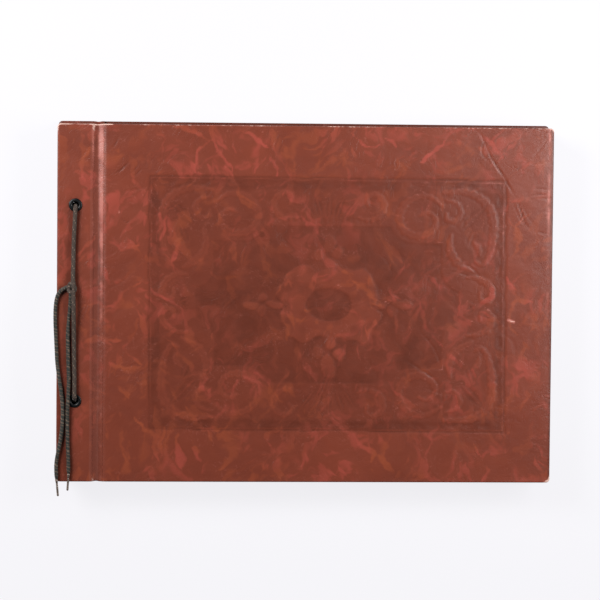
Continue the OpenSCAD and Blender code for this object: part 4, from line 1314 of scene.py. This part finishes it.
def strip_covering(cover):
    """Covering of a binding strip and of the groove beside it, turned in at the spine and at both ends."""
    decorated = cover.up > 0
    x0 = SPINE_X + EDGE_R
    x1 = GROOVE_X1
    half = COVER_H / 2 - EDGE_R
    xs = lines(x0, x1, 1.2, [(GROOVE_X0 - 1.6, x1, 0.3)])
    ys = lines(-half, half, 1.2 if decorated else 2.4, [(-half, 1.5 - half, 0.75), (half - 1.5, half, 0.75)])
    gx, gy = grid(xs, ys)
    height = groove_height(gx, cover.drop())
    in_groove = smooth(gx, GROOVE_X0 - 0.6, GROOVE_X0 + 0.8)
    height += 0.05 * cloud(gx, gy, 29, 6) * smooth(np.minimum(gx - x0, half - np.abs(gy)), 0, 2.5) - 0.05
    height += in_groove * 0.12 * cloud(gx * 3, gy, 12, 9) * smooth(GROOVE_X1 - gx, 0, 1.5)
    streak, fold, lip, shadow_and_grime = np.zeros((4, *gx.shape))
    if decorated:
        streak, fold, lip, _ = covering_marks(gx, gy + MARKS_Y)
        shadow_and_grime = cord_shadow_and_grime(gx, gy, cover.mid_y)
    to_eyelet = np.hypot(gx - EYELET_X, np.abs(gy) - EYELET_SPACING / 2)
    pressed = bell(to_eyelet - FLANGE_D / 2, 1.3)
    height -= 0.08 * pressed
    # Painted highlight along the crest of the strip's edge, strongest at its top end; below it the fold lips
    # and the slope's painted highlight
    crest_highlight = bell(gx - (GROOVE_X0 - 0.6), 1.1) * (0.65 + 0.4 * cloud(gx, gy, 19, 14))
    crest_highlight = crest_highlight * (0.2 + 0.8 * smooth(gy, 0, 110))
    light = np.maximum(np.maximum(0.4 * lip, crest_highlight), slope_shine(gx, gy))
    # Painted shade in the groove, painted shadow and grime round the cord, and darker leather round the
    # eyelets
    painted_shade = np.maximum(0.5 * in_groove * bell(gx - (GROOVE_X0 + 3.2), 2.6), shadow_and_grime + 0.3 * pressed)
    ends = smooth(np.abs(gy), half - 9, half - 1)
    worn = ends * bell(gx - GROOVE_X0, 2.2) * 0.62 + 0.3 * crest_highlight * (0.5 + 0.5 * cloud(gx, gy, 7, 15))
    dull = smooth(gx, GROOVE_X0 - 2.8, GROOVE_X0 - 1.2) * (1 - smooth(gx, GROOVE_X0 + 2.4, GROOVE_X0 + 4.2))
    narrowed = gy * (1 - 0.003 * bell(gx - GROOVE_X0 - 2.5, 2.0))
    px, py = both_rounded(gx, narrowed, x0, half, -1, CORNER_R - EDGE_R)
    index, faces, _ = grid_faces(gx.shape)
    points = [columns(px, py, height)]
    wear = [np.maximum(worn.ravel(), 0)]

    # Rings round the spine edge and both ends: down the outer rounding, in under the inner one, turned in
    loop = np.concatenate([index[::-1, -1], index[0, -2::-1], index[1:, 0]])
    flat = points[0][loop]
    ahead = np.gradient(flat[:, :2], axis=0)
    ahead /= np.linalg.norm(ahead, axis=1)[:, None]
    out = columns(ahead[:, 1], -ahead[:, 0])
    ends_only = flat[:, 0] > SPINE_X + 6
    out[ends_only] = columns(np.zeros(ends_only.sum()), np.sign(flat[ends_only, 1]))
    edge_wear = ring_wear(flat[:, 0], flat[:, 1], decorated) + 0.5 * bell(flat[:, 0] - GROOVE_X0, 3)
    inner = np.minimum(flat[:, 2] - LEATHER_T, COVER_T)
    floor_z = np.minimum(LINING_T, inner - LEATHER_T * 0.2)
    edge_r = np.minimum(EDGE_R, (flat[:, 2] - floor_z) / 2)
    outer = [(a, flat[:, 2] - edge_r * (1 - math.cos(a)), 0.2 + 0.8 * bell(a - math.radians(35), 0.6))
             for a in np.radians((22.5, 45, 67.5, 90))]
    under = [(a, floor_z + edge_r * (1 - math.cos(a)), 0.25) for a in np.radians((90, 60, 30, 0))]
    for a, z, amount in outer + under:
        ring_x, ring_y = (flat[:, :2] + out * (EDGE_R * math.sin(a))).T
        points.append(columns(ring_x, ring_y, z))
        wear.append(edge_wear * amount)
    turned_y = COVER_H / 2 - STRIP_TURN_IN
    points.append(columns(np.clip(flat[:, 0], SPINE_X + STRIP_TURN_IN, x1),
                          np.clip(flat[:, 1], -turned_y, turned_y), floor_z))
    wear.append(np.zeros(len(loop)))
    rings = len(outer) + len(under) + 1
    around, _ = ring_faces(loop, gx.size, rings, closed=False)
    extra = np.zeros(rings * len(loop))
    shine = np.repeat((1.0, 1.1, 0.5, 0.2, 0, 0, 0, 0, 0), len(loop))
    shine *= np.tile(np.clip(edge_wear, 0, 1), rings)
    # Painted shade growing down the edge's rounding
    low = np.repeat((0.2, 0.4, 0.6, 0.8, 0.9, 0.9, 0.9, 0.9, 0.9), len(loop)) if decorated else extra + 0.9
    edge_marks = columns(low, shine * (1 if decorated else 0.2), extra)
    attributes = {"marks": np.vstack([columns(painted_shade, light, fold), edge_marks]), "worn": np.concatenate(wear),
                  "streak": np.concatenate([streak.ravel(), extra]),
                  "dull": np.concatenate([dull.ravel(), extra])}
    piece = new_piece(f"{cover.name}_strip_covering", cover.at(np.vstack(points), cover.strip_base),
                      faces.tolist() + around, finish("embossed leather"), attributes, flip=not decorated)
    thickness = piece.modifiers.new("Thickness", "SOLIDIFY")
    thickness.thickness = SKIN_T * MM
    thickness.offset = -1
    cutter = eyelet_punch(cover)
    hole = piece.modifiers.new("Eyelet holes", "BOOLEAN")
    hole.operation = "DIFFERENCE"
    hole.solver = "EXACT"
    hole.object = cutter
    baked(piece)
    bpy.data.objects.remove(cutter)
    return piece


def eyelet_punch(cover):
    """Two round punches for the eyelet holes of a strip."""
    points = []
    faces = []
    radius = EYELET_BORE / 2 + PUNCH_CLEARANCE
    turns = [2 * math.pi * i / PUNCH_SIDES for i in range(PUNCH_SIDES)]
    for side in (-1, 1):
        y = cover.mid_y + side * EYELET_SPACING / 2
        low = [len(points) + i for i in range(PUNCH_SIDES)]
        high = [i + PUNCH_SIDES for i in low]
        for z in (cover.strip_base - 3, cover.strip_base + COVER_T + 3):
            points += [(EYELET_X + radius * math.cos(a), y + radius * math.sin(a), z) for a in turns]
        faces += [low[::-1], high]
        faces += zip(low, low[1:] + low[:1], high[1:] + high[:1], high)
    return new_piece("eyelet_punch", points, faces, finish("black lacquered eyelets"))


def hinge_lining(cover):
    """Strip of lining paper under the groove."""
    xs = np.linspace(GROOVE_X0, GROOVE_X1 - FIT, 15)
    half = COVER_H / 2 - LINING_BORDER
    gx, gy = grid(xs, np.linspace(-half, half, 41))
    s = (gx - GROOVE_X0) / (GROOVE_X1 - FIT - GROOVE_X0)
    over = LINING_T - FIT / 2 - s * cover.drop()
    under = -s * cover.drop() + 0.02 * cloud(gx * 2, gy, 9, 4)
    points, faces = slab(gx, gy, over, under)
    return new_piece(f"{cover.name}_hinge_lining", cover.at(points, cover.strip_base), faces,
                     finish("lining paper"), flip=cover.up < 0)


def shaped(piece, tree, **values):
    """Runs a tree on the piece with these inputs, with _ for a space, and keeps the result as its mesh."""
    modifier = piece.modifiers.new(tree.name, "NODES")
    modifier.node_group = tree
    for item in tree.interface.items_tree:
        name = item.name.replace(" ", "_")
        if item.in_out == "INPUT" and name in values:
            modifier[item.identifier] = values[name]
    return baked(piece)


def braid_tree():
    """Braided cord along a line whose points carry their centre, side, up, half sizes and run."""
    m = Shape("Braided cord", {"Strands": 8.0, "Lay": 0.013, "Relief": 0.0003, "Sides": CORD_SIDES,
                               "Flecks": 0.0, "Finish": "Material"})
    strands = m.start.out("Strands")
    sides = m.start.out("Sides")
    flecks = m.start.out("Flecks")

    def named(label, kind="FLOAT_VECTOR"):
        return m.node("GeometryNodeInputNamedAttribute", {"data_type": kind}, {"Name": label}, "Attribute")

    def store(geometry, label, value):
        settings = {"data_type": "FLOAT", "domain": "POINT"}
        return m.change("StoreNamedAttribute", geometry, settings, Name=label, Value=value)

    circle = m.node("GeometryNodeCurvePrimitiveCircle", None, {"Resolution": sides, "Radius": 0.001})
    circle = store(circle, "turn", m.node("GeometryNodeInputIndex") / sides)
    line = m.node("GeometryNodeMeshToCurve", None, {"Mesh": m.start})
    tube = m.node("GeometryNodeCurveToMesh", None,
                  {"Curve": line, "Profile Curve": circle, "Fill Caps": True})

    # Strands that run both ways round, each over and under the others in turn
    turn = named("turn", "FLOAT")
    run = named("run", "FLOAT")
    lay = run / m.start.out("Lay")
    p = strands * (turn + lay)
    q = strands * (turn - lay)
    across_p = m.maths("SINE", m.maths("FRACT", p) * math.pi)
    across_q = m.maths("SINE", m.maths("FRACT", q) * math.pi)
    parity = m.maths("FLOORED_MODULO", m.maths("FLOOR", p) + m.maths("FLOOR", q), 2.0)
    over = parity * across_q * (0.55 + across_p * 0.45) + (1 - parity) * across_p * (0.55 + across_q * 0.45)
    picked = m.maths("LESS_THAN", m.maths("FLOORED_MODULO", m.maths("FLOOR", p), 4.0), 0.5)
    tube = store(tube, "lift", over)
    uneven = m.noise(named("centre"), 420.0)
    beads = m.maths("SINE", (run / (FLECK_PITCH * MM) + turn + uneven * 1.8) * (2 * math.pi))
    tube = store(tube, "tracer", picked * (1 - parity) * (1 - flecks) + beads * flecks)
    tube = store(tube, "deep", flecks * (0.62 - beads * 0.38))

    # The round section, set square to the line
    half = m.parts(named("half"))
    angle = turn * (2 * math.pi)
    lifted = m.start.out("Relief") * (over - 1)
    sideways = m.scaled(named("side"), m.maths("COSINE", angle) * (half + lifted))
    upwards = m.scaled(named("up"), m.maths("SINE", angle) * (half.out("Y") + lifted))
    at = m.vector("ADD", named("centre"), m.vector("ADD", sideways, upwards))
    tube = m.change("SetPosition", tube, Position=at)
    return m.finished(m.change("SetShadeSmooth", tube, Shade_Smooth=True))


def raised(route):
    """A route in millimetres from the table."""
    return [(x, y, z + STRIP_TOP) for x, y, z in route]


def braided(name, route, widths, level, step=CORD_STEP, flecks=0.0):
    """A braided cord along a route, with a width and a thickness at each of its points."""
    sizes = bpy.context.scene.album_sizes
    path, _ = curve_through(np.column_stack([np.array(route, float), np.array(widths, float)]), step)
    centre = path[:, :3]
    ahead = np.gradient(centre, axis=0)
    ahead /= np.linalg.norm(ahead, axis=1)[:, None]
    side = np.cross([0, 0, 1], ahead) if level else np.array([1, 0, 0]) - ahead[:, :1] * ahead
    side /= np.linalg.norm(side, axis=1)[:, None]
    run = np.concatenate([[0], np.cumsum(np.linalg.norm(np.diff(centre, axis=0), axis=1))])
    layers = {"centre": centre * MM, "side": side, "up": np.cross(ahead, side),
              "half": np.column_stack([path[:, 3:5] / 2 * MM, np.zeros(len(path))]), "run": run * MM}
    mesh = bpy.data.meshes.new(name)
    mesh.from_pydata((centre * MM).tolist(), [(i, i + 1) for i in range(len(centre) - 1)], [])
    point_values(mesh, layers)
    piece = in_scene(name, mesh)
    tree = bpy.data.node_groups.get("Braided cord") or braid_tree()
    shaped(piece, tree, Strands=float(sizes.braid_strands), Lay=sizes.braid_lay, Relief=sizes.braid_relief,
           Sides=CORD_SIDES, Flecks=flecks, Finish=finish("braided cord"))
    facing_out(piece)
    for key in (*layers, "turn"):
        layer = piece.data.attributes.get(key)
        if layer:
            piece.data.attributes.remove(layer)
    return piece, centre


def lacing_route():
    """Route and sizes of the tied cord, from knot to eyelet, down, along the back and up again."""
    rise = FLANGE_H + 2 * FIT + CORD_H / 2
    far = EYELET_SPACING / 2
    flat_z = FIT + CORD_FLAT_T / 2
    front_low = strip_low[2]
    stubs_z = back_strip_high[2] + FIT
    in_bore = (CORD_BORE_W, CORD_H)
    flat = (CORD_FLAT_W, CORD_FLAT_T)

    def down(side):
        route = []
        sizes = []
        for a in (90, 60, 30, 0):
            out = BEND_OVER * math.cos(math.radians(a))
            up = BEND_OVER * math.sin(math.radians(a))
            y = side * (far - BEND_OVER_IN - BEND_OVER + out) + FRONT_Y
            route.append((EYELET_X, y, STRIP_TOP + rise - BEND_OVER + up))
            thinner = {90: 0, 60: 0.3}.get(a, 0.8)
            sizes.append((CORD_W if up > BEND_OVER / 2 else CORD_BORE_W, CORD_H - thinner))
        for y, z in ((FRONT_Y, front_low - 1), (0, (stubs_z + front_low) / 2), (BACK_Y, stubs_z + 1)):
            route.append((EYELET_X, side * far + y, z))
            sizes.append(in_bore)
        for a, size in zip((0, -30, -60, -90), (in_bore, (CORD_BORE_W, CORD_FLAT_T), flat, flat)):
            out = BEND_UNDER * math.cos(math.radians(a))
            up = BEND_UNDER * math.sin(math.radians(a))
            route.append((EYELET_X, side * (far - BEND_UNDER + out) + BACK_Y, flat_z + BEND_UNDER + up))
            sizes.append(size)
        return route, sizes

    upper, upper_sizes = down(1)
    lower, lower_sizes = down(-1)
    front = (CORD_W, CORD_H)
    route = raised(UPPER_RUN) + upper
    sizes = [front] * len(UPPER_RUN) + upper_sizes
    steps = FLAT_RUN_POINTS // 2
    route += [(EYELET_X, -i * (far - FLAT_RUN_IN) / (steps + 1) + BACK_Y, flat_z)
              for i in range(-steps, steps + 1)]
    sizes += [flat] * FLAT_RUN_POINTS
    route += lower[::-1] + raised(LOWER_RUN)[::-1]
    sizes += lower_sizes[::-1] + [front] * len(LOWER_RUN)
    return route, sizes


def turned_profile(profile, sides, closed):
    """Points and faces of a profile of (radius, height) turned about Z; closed where its ends meet."""
    angles = np.linspace(0, 2 * np.pi, sides, endpoint=False)
    r, z = np.array(profile, float).T[:, :, None]
    points = np.stack([r * np.cos(angles), r * np.sin(angles), np.repeat(z, sides, 1)], axis=-1)
    index = np.arange(len(profile) * sides).reshape(len(profile), sides)
    upper = index if closed else index[:-1]
    lower = np.roll(index, -1, axis=0) if closed else index[1:]
    faces = np.stack([upper, np.roll(upper, -1, axis=1), np.roll(lower, -1, axis=1), lower], axis=-1)
    return points.reshape(-1, 3), faces.reshape(-1, 4).tolist()


def aglet(name, start, tip):
    """Metal tip rolled round the cord's end, with a lapped seam and two crimps."""
    a = np.array(raised([start])[0])
    b = np.array(raised([tip])[0])
    length = np.linalg.norm(b - a)
    way = (b - a) / length
    side = np.cross([0, 0, 1], way)
    side /= np.linalg.norm(side)
    up = np.cross(way, side)
    r = AGLET_D / 2
    profile = [(0.0, 0.0), (r + 0.16, 0.0), (r + 0.25, 0.14), (r + 0.25, 0.9), (r + 0.1, 1.25), (r, 1.9)]
    for z in np.arange(2.2, length - r - 0.2, 0.35):
        crimp = 0.16 * sum(bell(z - middle, 0.35) for middle in AGLET_CRIMPS)
        profile.append((r - crimp - 0.02 * (z > 6), z))
    profile += [(r * math.cos(t), length - r + r * math.sin(t)) for t in np.radians((0, 25, 50, 75))]
    profile.append((0.0, length))
    points, faces = turned_profile(profile, AGLET_SIDES, closed=False)
    angle = np.arctan2(points[:, 1], points[:, 0])
    seam = 1 + 0.06 * smooth(angle, 0.6, 0.62) * (1 - smooth(angle, 0.62, 2.6))
    points[:, :2] *= seam[:, None]
    placed = a + points[:, :1] * side + points[:, 1:2] * up + points[:, 2:] * way
    return facing_out(new_piece(name, placed, faces, finish("dull cord tips")))


def eyelet_shape():
    """One eyelet standing on z = 0, the covering's outer face: rolled flange, barrel and curled end."""
    bore = EYELET_BORE / 2
    flange_mid = (bore + FLANGE_D / 2) / 2
    flange_half = (FLANGE_D / 2 - bore) / 2
    curl_mid = (bore + CURL_D / 2) / 2
    curl_half = (CURL_D / 2 - bore) / 2
    curl_z = LINING_T + LEATHER_T - COVER_T
    barrel = bore + BARREL_T
    dome = [(flange_mid + flange_half * math.cos(a), FIT + (FLANGE_H - FIT) * math.sin(a) ** 0.8)
            for a in np.radians(np.linspace(0, 180, 17))]
    curl = [(curl_mid + curl_half * math.cos(a), curl_z - FIT + (LINING_T + LEATHER_T - FIT) * math.sin(a))
            for a in np.radians(np.linspace(180, 360, 13))]
    return dome + curl + [(barrel, curl_z - FIT), (barrel, FIT)]


def pair_tree():
    """Sets a part on each point of the piece it runs on."""
    m = Shape("Pair on points", {"Part": "Object", "Finish": "Material"})
    part = m.node("GeometryNodeObjectInfo", {"transform_space": "ORIGINAL"},
                  {"Object": m.start.out("Part")}, "Geometry")
    return m.finished(m.node("GeometryNodeInstanceOnPoints", None, {"Points": m.start, "Instance": part}))


def eyelet_pair(cover):
    """The two eyelets of one binding strip."""
    black = finish("black lacquered eyelets")
    points, faces = turned_profile(eyelet_shape(), EYELET_SIDES, closed=True)
    points[:, 2] = points[:, 2] + COVER_T if cover.up > 0 else -points[:, 2]
    part = facing_out(new_piece("eyelet_part", points, faces, black))
    name = f"{cover.name}_eyelet_pair"
    mesh = bpy.data.meshes.new(name)
    mesh.from_pydata([(EYELET_X * MM, (cover.mid_y + side * EYELET_SPACING / 2) * MM, cover.strip_base * MM)
                      for side in (-1, 1)], [], [])
    piece = in_scene(name, mesh)
    shaped(piece, bpy.data.node_groups.get("Pair on points") or pair_tree(), Part=part, Finish=black)
    bpy.data.objects.remove(part)
    piece.data.shade_smooth()
    return piece


def leaf_tree():
    """A leaf of card: held at its root, bending down or up to its place, with uneven edges."""
    m = Shape("Card leaf", {
        "Root x": 0.0, "Fore x": 0.1, "Flex": 0.01, "Height": 0.1, "Middle y": 0.0, "Root z": 0.0,
        "Leaf z": 0.0, "Thickness": 0.0003, "Wander": 0.0005, "Seed": 1.0, "Finish": "Material"})
    root_x = m.start.out("Root x")
    root_z = m.start.out("Root z")
    wander = m.start.out("Wander")
    sheet = m.node("GeometryNodeMeshGrid", None,
                   {"Size X": 2.0, "Size Y": 2.0, "Vertices X": 49, "Vertices Y": 29})
    u = m.parts(m.node("GeometryNodeInputPosition"))
    v = u.out("Y")
    along = (u + 1) * 0.5

    def waves(x, y, turns, detail):
        return m.noise(m.point(x, y, m.start.out("Seed") * turns), 1.0, detail) - 0.5

    # The first third bends over the flexing stretch, and the rest lies flat
    reach = m.start.out("Fore x") - root_x
    flex_share = m.start.out("Flex") / reach
    bent = m.maths("MINIMUM", along * 3.0, 1.0)
    rest = m.maths("MAXIMUM", along * 1.5 - 0.5, 0.0)
    share = bent * flex_share + rest * (1 - flex_share)
    fore_wave = waves(0.0, v * 2.0, 5.3, 3.0)
    side_wave = waves(along * 2.0, 0.0, 7.9, 3.0)
    at_x = root_x + reach * share + wander * (fore_wave - 0.6) * m.step(along, 0.8, 1.0)
    at_y = m.start.out("Middle y") + v * 0.5 * m.start.out("Height")
    at_y = at_y + wander * (side_wave - 0.35 * v) * m.step(m.maths("ABSOLUTE", v), 0.8, 1.0)
    ease = 0.5 - m.maths("COSINE", bent * math.pi) * 0.5
    lift = m.step(along, 0.4, 0.8) * waves(along * 3.0, v * 3.0, 3.7, 2.0) * 0.0005
    at_z = root_z + (m.start.out("Leaf z") - root_z) * ease + lift

    # Two faces and their walls, told apart by their height
    walls = m.node("GeometryNodeExtrudeMesh", {"mode": "FACES"},
                   {"Mesh": sheet, "Offset": (0.0, 0.0, 1.0), "Offset Scale": 0.5, "Individual": False})
    under = m.node("GeometryNodeFlipFaces", None, {"Mesh": sheet})
    both = m.node("GeometryNodeJoinGeometry", None, {"Geometry": walls})
    m.tree.links.new(under.socket, both.socket.node.inputs[0])
    card = m.change("MergeByDistance", both, Distance=0.0001)
    low = m.point(at_x, at_y, at_z)
    high = m.point(at_x, at_y, at_z + m.start.out("Thickness"))
    is_high = m.maths("GREATER_THAN", u.out("Z"), 0.25)
    where_to = m.node("ShaderNodeMix", {"data_type": "VECTOR"}, {0: is_high, 4: low, 5: high}, 1)
    return m.finished(m.change("SetPosition", card, Position=where_to))


def bend_at_groove(piece):
    """Works the piece's place into its mesh."""
    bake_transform(piece)


def covered(cover):
    """The covering of one cover: over its panel, and over its binding strip and groove."""
    panel = panel_covering(cover)
    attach(panel, f"{cover.name}_cover")
    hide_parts(f"{cover.name}_leather")
    strip = strip_covering(cover)
    bend_at_groove(strip)
    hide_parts(f"{cover.name}_binding_leather", f"{cover.name}_groove_leather")


def lamp(name, place, size, strength, turned_to):
    """A soft square lamp of an even brightness, facing a point."""
    data = bpy.data.lights.new(name, "AREA")
    data.shape = "RECTANGLE"
    data.size = size
    data.size_y = size
    data.energy = strength * math.pi * size * size
    made = in_scene(name, data)
    made.location = place
    x, y, z = np.array(place) - np.array(turned_to)
    made.rotation_euler = (math.atan2(math.hypot(x, y), z), 0, math.atan2(x, -y))


class AlbumCamera(bpy.types.Operator):
    """Sets the camera that looks down on the closed album"""

    bl_idname = "album.camera"
    bl_label = "Camera"

    def execute(self, context):
        data = bpy.data.cameras.new("camera")
        data.sensor_fit = "HORIZONTAL"
        data.angle = math.radians(CAMERA_ANGLE)
        camera = in_scene("camera", data)
        camera.location = CAMERA_PLACE
        camera.rotation_euler = Euler([math.radians(a) for a in CAMERA_TURN])
        context.scene.camera = camera
        return {"FINISHED"}


class AlbumCord(bpy.types.Operator):
    """Makes the braided cord: the tied run, the knot, both free ends and their metal tips"""

    bl_idname = "album.cord"
    bl_label = "Braided cord"

    def execute(self, context):
        lacing, _ = braided("braided_lacing", *lacing_route(), level=False)
        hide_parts("lacing_cord")
        tied = [lacing]
        for name, route in (("knot_strand_down", KNOT_DOWN), ("knot_strand_up", KNOT_UP)):
            strand, _ = braided(name, raised(route), [KNOT_SIZE] * len(route), level=True,
                                step=KNOT_STEP)
            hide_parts("cord_knot")
            tied.append(strand)
        for piece in tied:
            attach(piece, "binding")
        for side, route, tip in (("left", LEFT_ROUTE, LEFT_TIP), ("right", RIGHT_ROUTE, RIGHT_TIP)):
            widths = [(TAIL_D, TAIL_D)] * (len(route) - 1) + [(AGLET_D + 0.3, AGLET_D + 0.3)]
            tail, path = braided(f"cord_end_{side}", raised(route), widths, level=True, flecks=1.0)
            metal = aglet(f"cord_tip_{side}", route[-1], tip)
            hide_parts(f"cord_tail_{side}")
            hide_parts(f"aglet_{side}")
            for piece in (tail, metal):
                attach(piece, "binding")
            (path[0] * MM).tolist()
            (path * MM).tolist()
        return {"FINISHED"}


class AlbumFrontCovering(bpy.types.Operator):
    """Makes the embossed covering of the front cover and of its binding strip and groove"""

    bl_idname = "album.front_covering"
    bl_label = "Front covering"

    def execute(self, context):
        covered(FRONT)
        return {"FINISHED"}


class AlbumBackCovering(bpy.types.Operator):
    """Makes the plain covering of the back cover and of its binding strip and groove"""

    bl_idname = "album.back_covering"
    bl_label = "Back covering"

    def execute(self, context):
        covered(BACK)
        return {"FINISHED"}


class AlbumLinings(bpy.types.Operator):
    """Makes the lining over both grooves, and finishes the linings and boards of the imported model"""

    bl_idname = "album.linings"
    bl_label = "Boards and linings"

    def execute(self, context):
        for cover in (FRONT, BACK):
            lining = hinge_lining(cover)
            bend_at_groove(lining)
            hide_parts(f"{cover.name}_groove_lining")
        for cover in (FRONT, BACK):
            board = board_sheet(cover)
            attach(board, f"{cover.name}_cover")
            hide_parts(f"{cover.name}_board")
        kinds = {"board": "binders board", "lining": "lining paper", "stubs": "leaf card"}
        for name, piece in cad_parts.items():
            kind = kinds.get(name.split("_")[-1])
            if kind:
                for slot in piece.material_slots:
                    slot.material = finish(kind)
        return {"FINISHED"}


class AlbumLeaves(bpy.types.Operator):
    """Makes the leaves of card, each bending from the binding to its place in the stack"""

    bl_idname = "album.leaves"
    bl_label = "Leaves"

    def execute(self, context):
        tree = leaf_tree()
        root_x = (GROOVE_X0 + FIT) * MM
        for k in range(1, LEAF_COUNT + 1):
            low, high = node_box(f"leaf_{k:02d}")
            leaf = in_scene(f"card_leaf_{k:02d}", bpy.data.meshes.new(f"card_leaf_{k:02d}"))
            shaped(leaf, tree, Root_x=root_x, Fore_x=float(high[0]) * MM, Flex=LEAF_BEND * MM,
                   Height=float(high[1] - low[1]) * MM, Middle_y=float(low[1] + high[1]) / 2 * MM,
                   Root_z=float(FRONT.strip_base - FIT / 2 - k * LEAF_PITCH) * MM, Leaf_z=float(low[2]) * MM,
                   Thickness=LEAF_T * MM, Wander=context.scene.album_sizes.leaf_wander, Seed=float(k),
                   Finish=finish("leaf card"))
            facing_out(leaf)
            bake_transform(leaf)
            hinges = "upper_leaf_hinges" if k <= LEAF_COUNT // 2 else "lower_leaf_hinges"
            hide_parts(f"leaf_{k:02d}", hinges)
        return {"FINISHED"}


class AlbumEyelets(bpy.types.Operator):
    """Makes the two pairs of black eyelets"""

    bl_idname = "album.eyelets"
    bl_label = "Eyelets"

    def execute(self, context):
        for cover in (FRONT, BACK):
            pair = eyelet_pair(cover)
            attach(pair, "binding")
            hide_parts(f"{cover.name}_eyelets")
        return {"FINISHED"}


class AlbumStage(bpy.types.Operator):
    """Sets the pale ground, the soft lamps and the even light of the room"""

    bl_idname = "album.stage"
    bl_label = "Stage"

    def execute(self, context):
        r = GROUND_REACH
        corners = [(x, y, GROUND_Z) for x, y in ((-r, -r), (r, -r), (r, r), (-r, r))]
        new_piece("ground", corners, [(0, 1, 2, 3)], finish("pale ground"))
        for values in LAMPS:
            lamp(*values)
        world = bpy.data.worlds.new("even room light")
        context.scene.world = world
        world.use_nodes = True
        m = Maker(world.node_tree)
        light = m.largest(m.node("ShaderNodeLightPath", None, None, "Is Camera Ray"), ROOM_LIGHT)
        shader = m.node("ShaderNodeBackground", None, {"Color": (1.0, 1.0, 1.0, 1.0), "Strength": light})
        m.ended("ShaderNodeOutputWorld", "Surface", shader)
        context.scene.view_settings.view_transform = "Standard"
        return {"FINISHED"}


class AlbumPanel(bpy.types.Panel):
    """Sizes and colours of the album, and the steps that make it"""

    bl_idname = "VIEW3D_PT_album"
    bl_label = "Album"
    bl_space_type = "VIEW_3D"
    bl_region_type = "UI"
    bl_category = "Album"

    def draw(self, context):
        for group in (context.scene.album_sizes, context.scene.album_colours):
            box = self.layout.box()
            for name in group.__annotations__:
                box.prop(group, name)
        for step in STEPS:
            self.layout.operator(step.bl_idname)


STEPS = (AlbumCamera, AlbumCord, AlbumFrontCovering, AlbumBackCovering, AlbumLinings, AlbumLeaves,
         AlbumEyelets, AlbumStage)
CLASSES = (AlbumSizes, AlbumColours, *STEPS, AlbumPanel)


def register():
    for kind in CLASSES:
        bpy.utils.register_class(kind)
    bpy.types.Scene.album_sizes = PointerProperty(type=AlbumSizes)
    bpy.types.Scene.album_colours = PointerProperty(type=AlbumColours)


def unregister():
    del bpy.types.Scene.album_colours
    del bpy.types.Scene.album_sizes
    for kind in reversed(CLASSES):
        bpy.utils.unregister_class(kind)


def main():
    register()
    for step in STEPS:
        group, name = step.bl_idname.split(".")
        getattr(getattr(bpy.ops, group), name)()


if __name__ == "__main__":
    main()
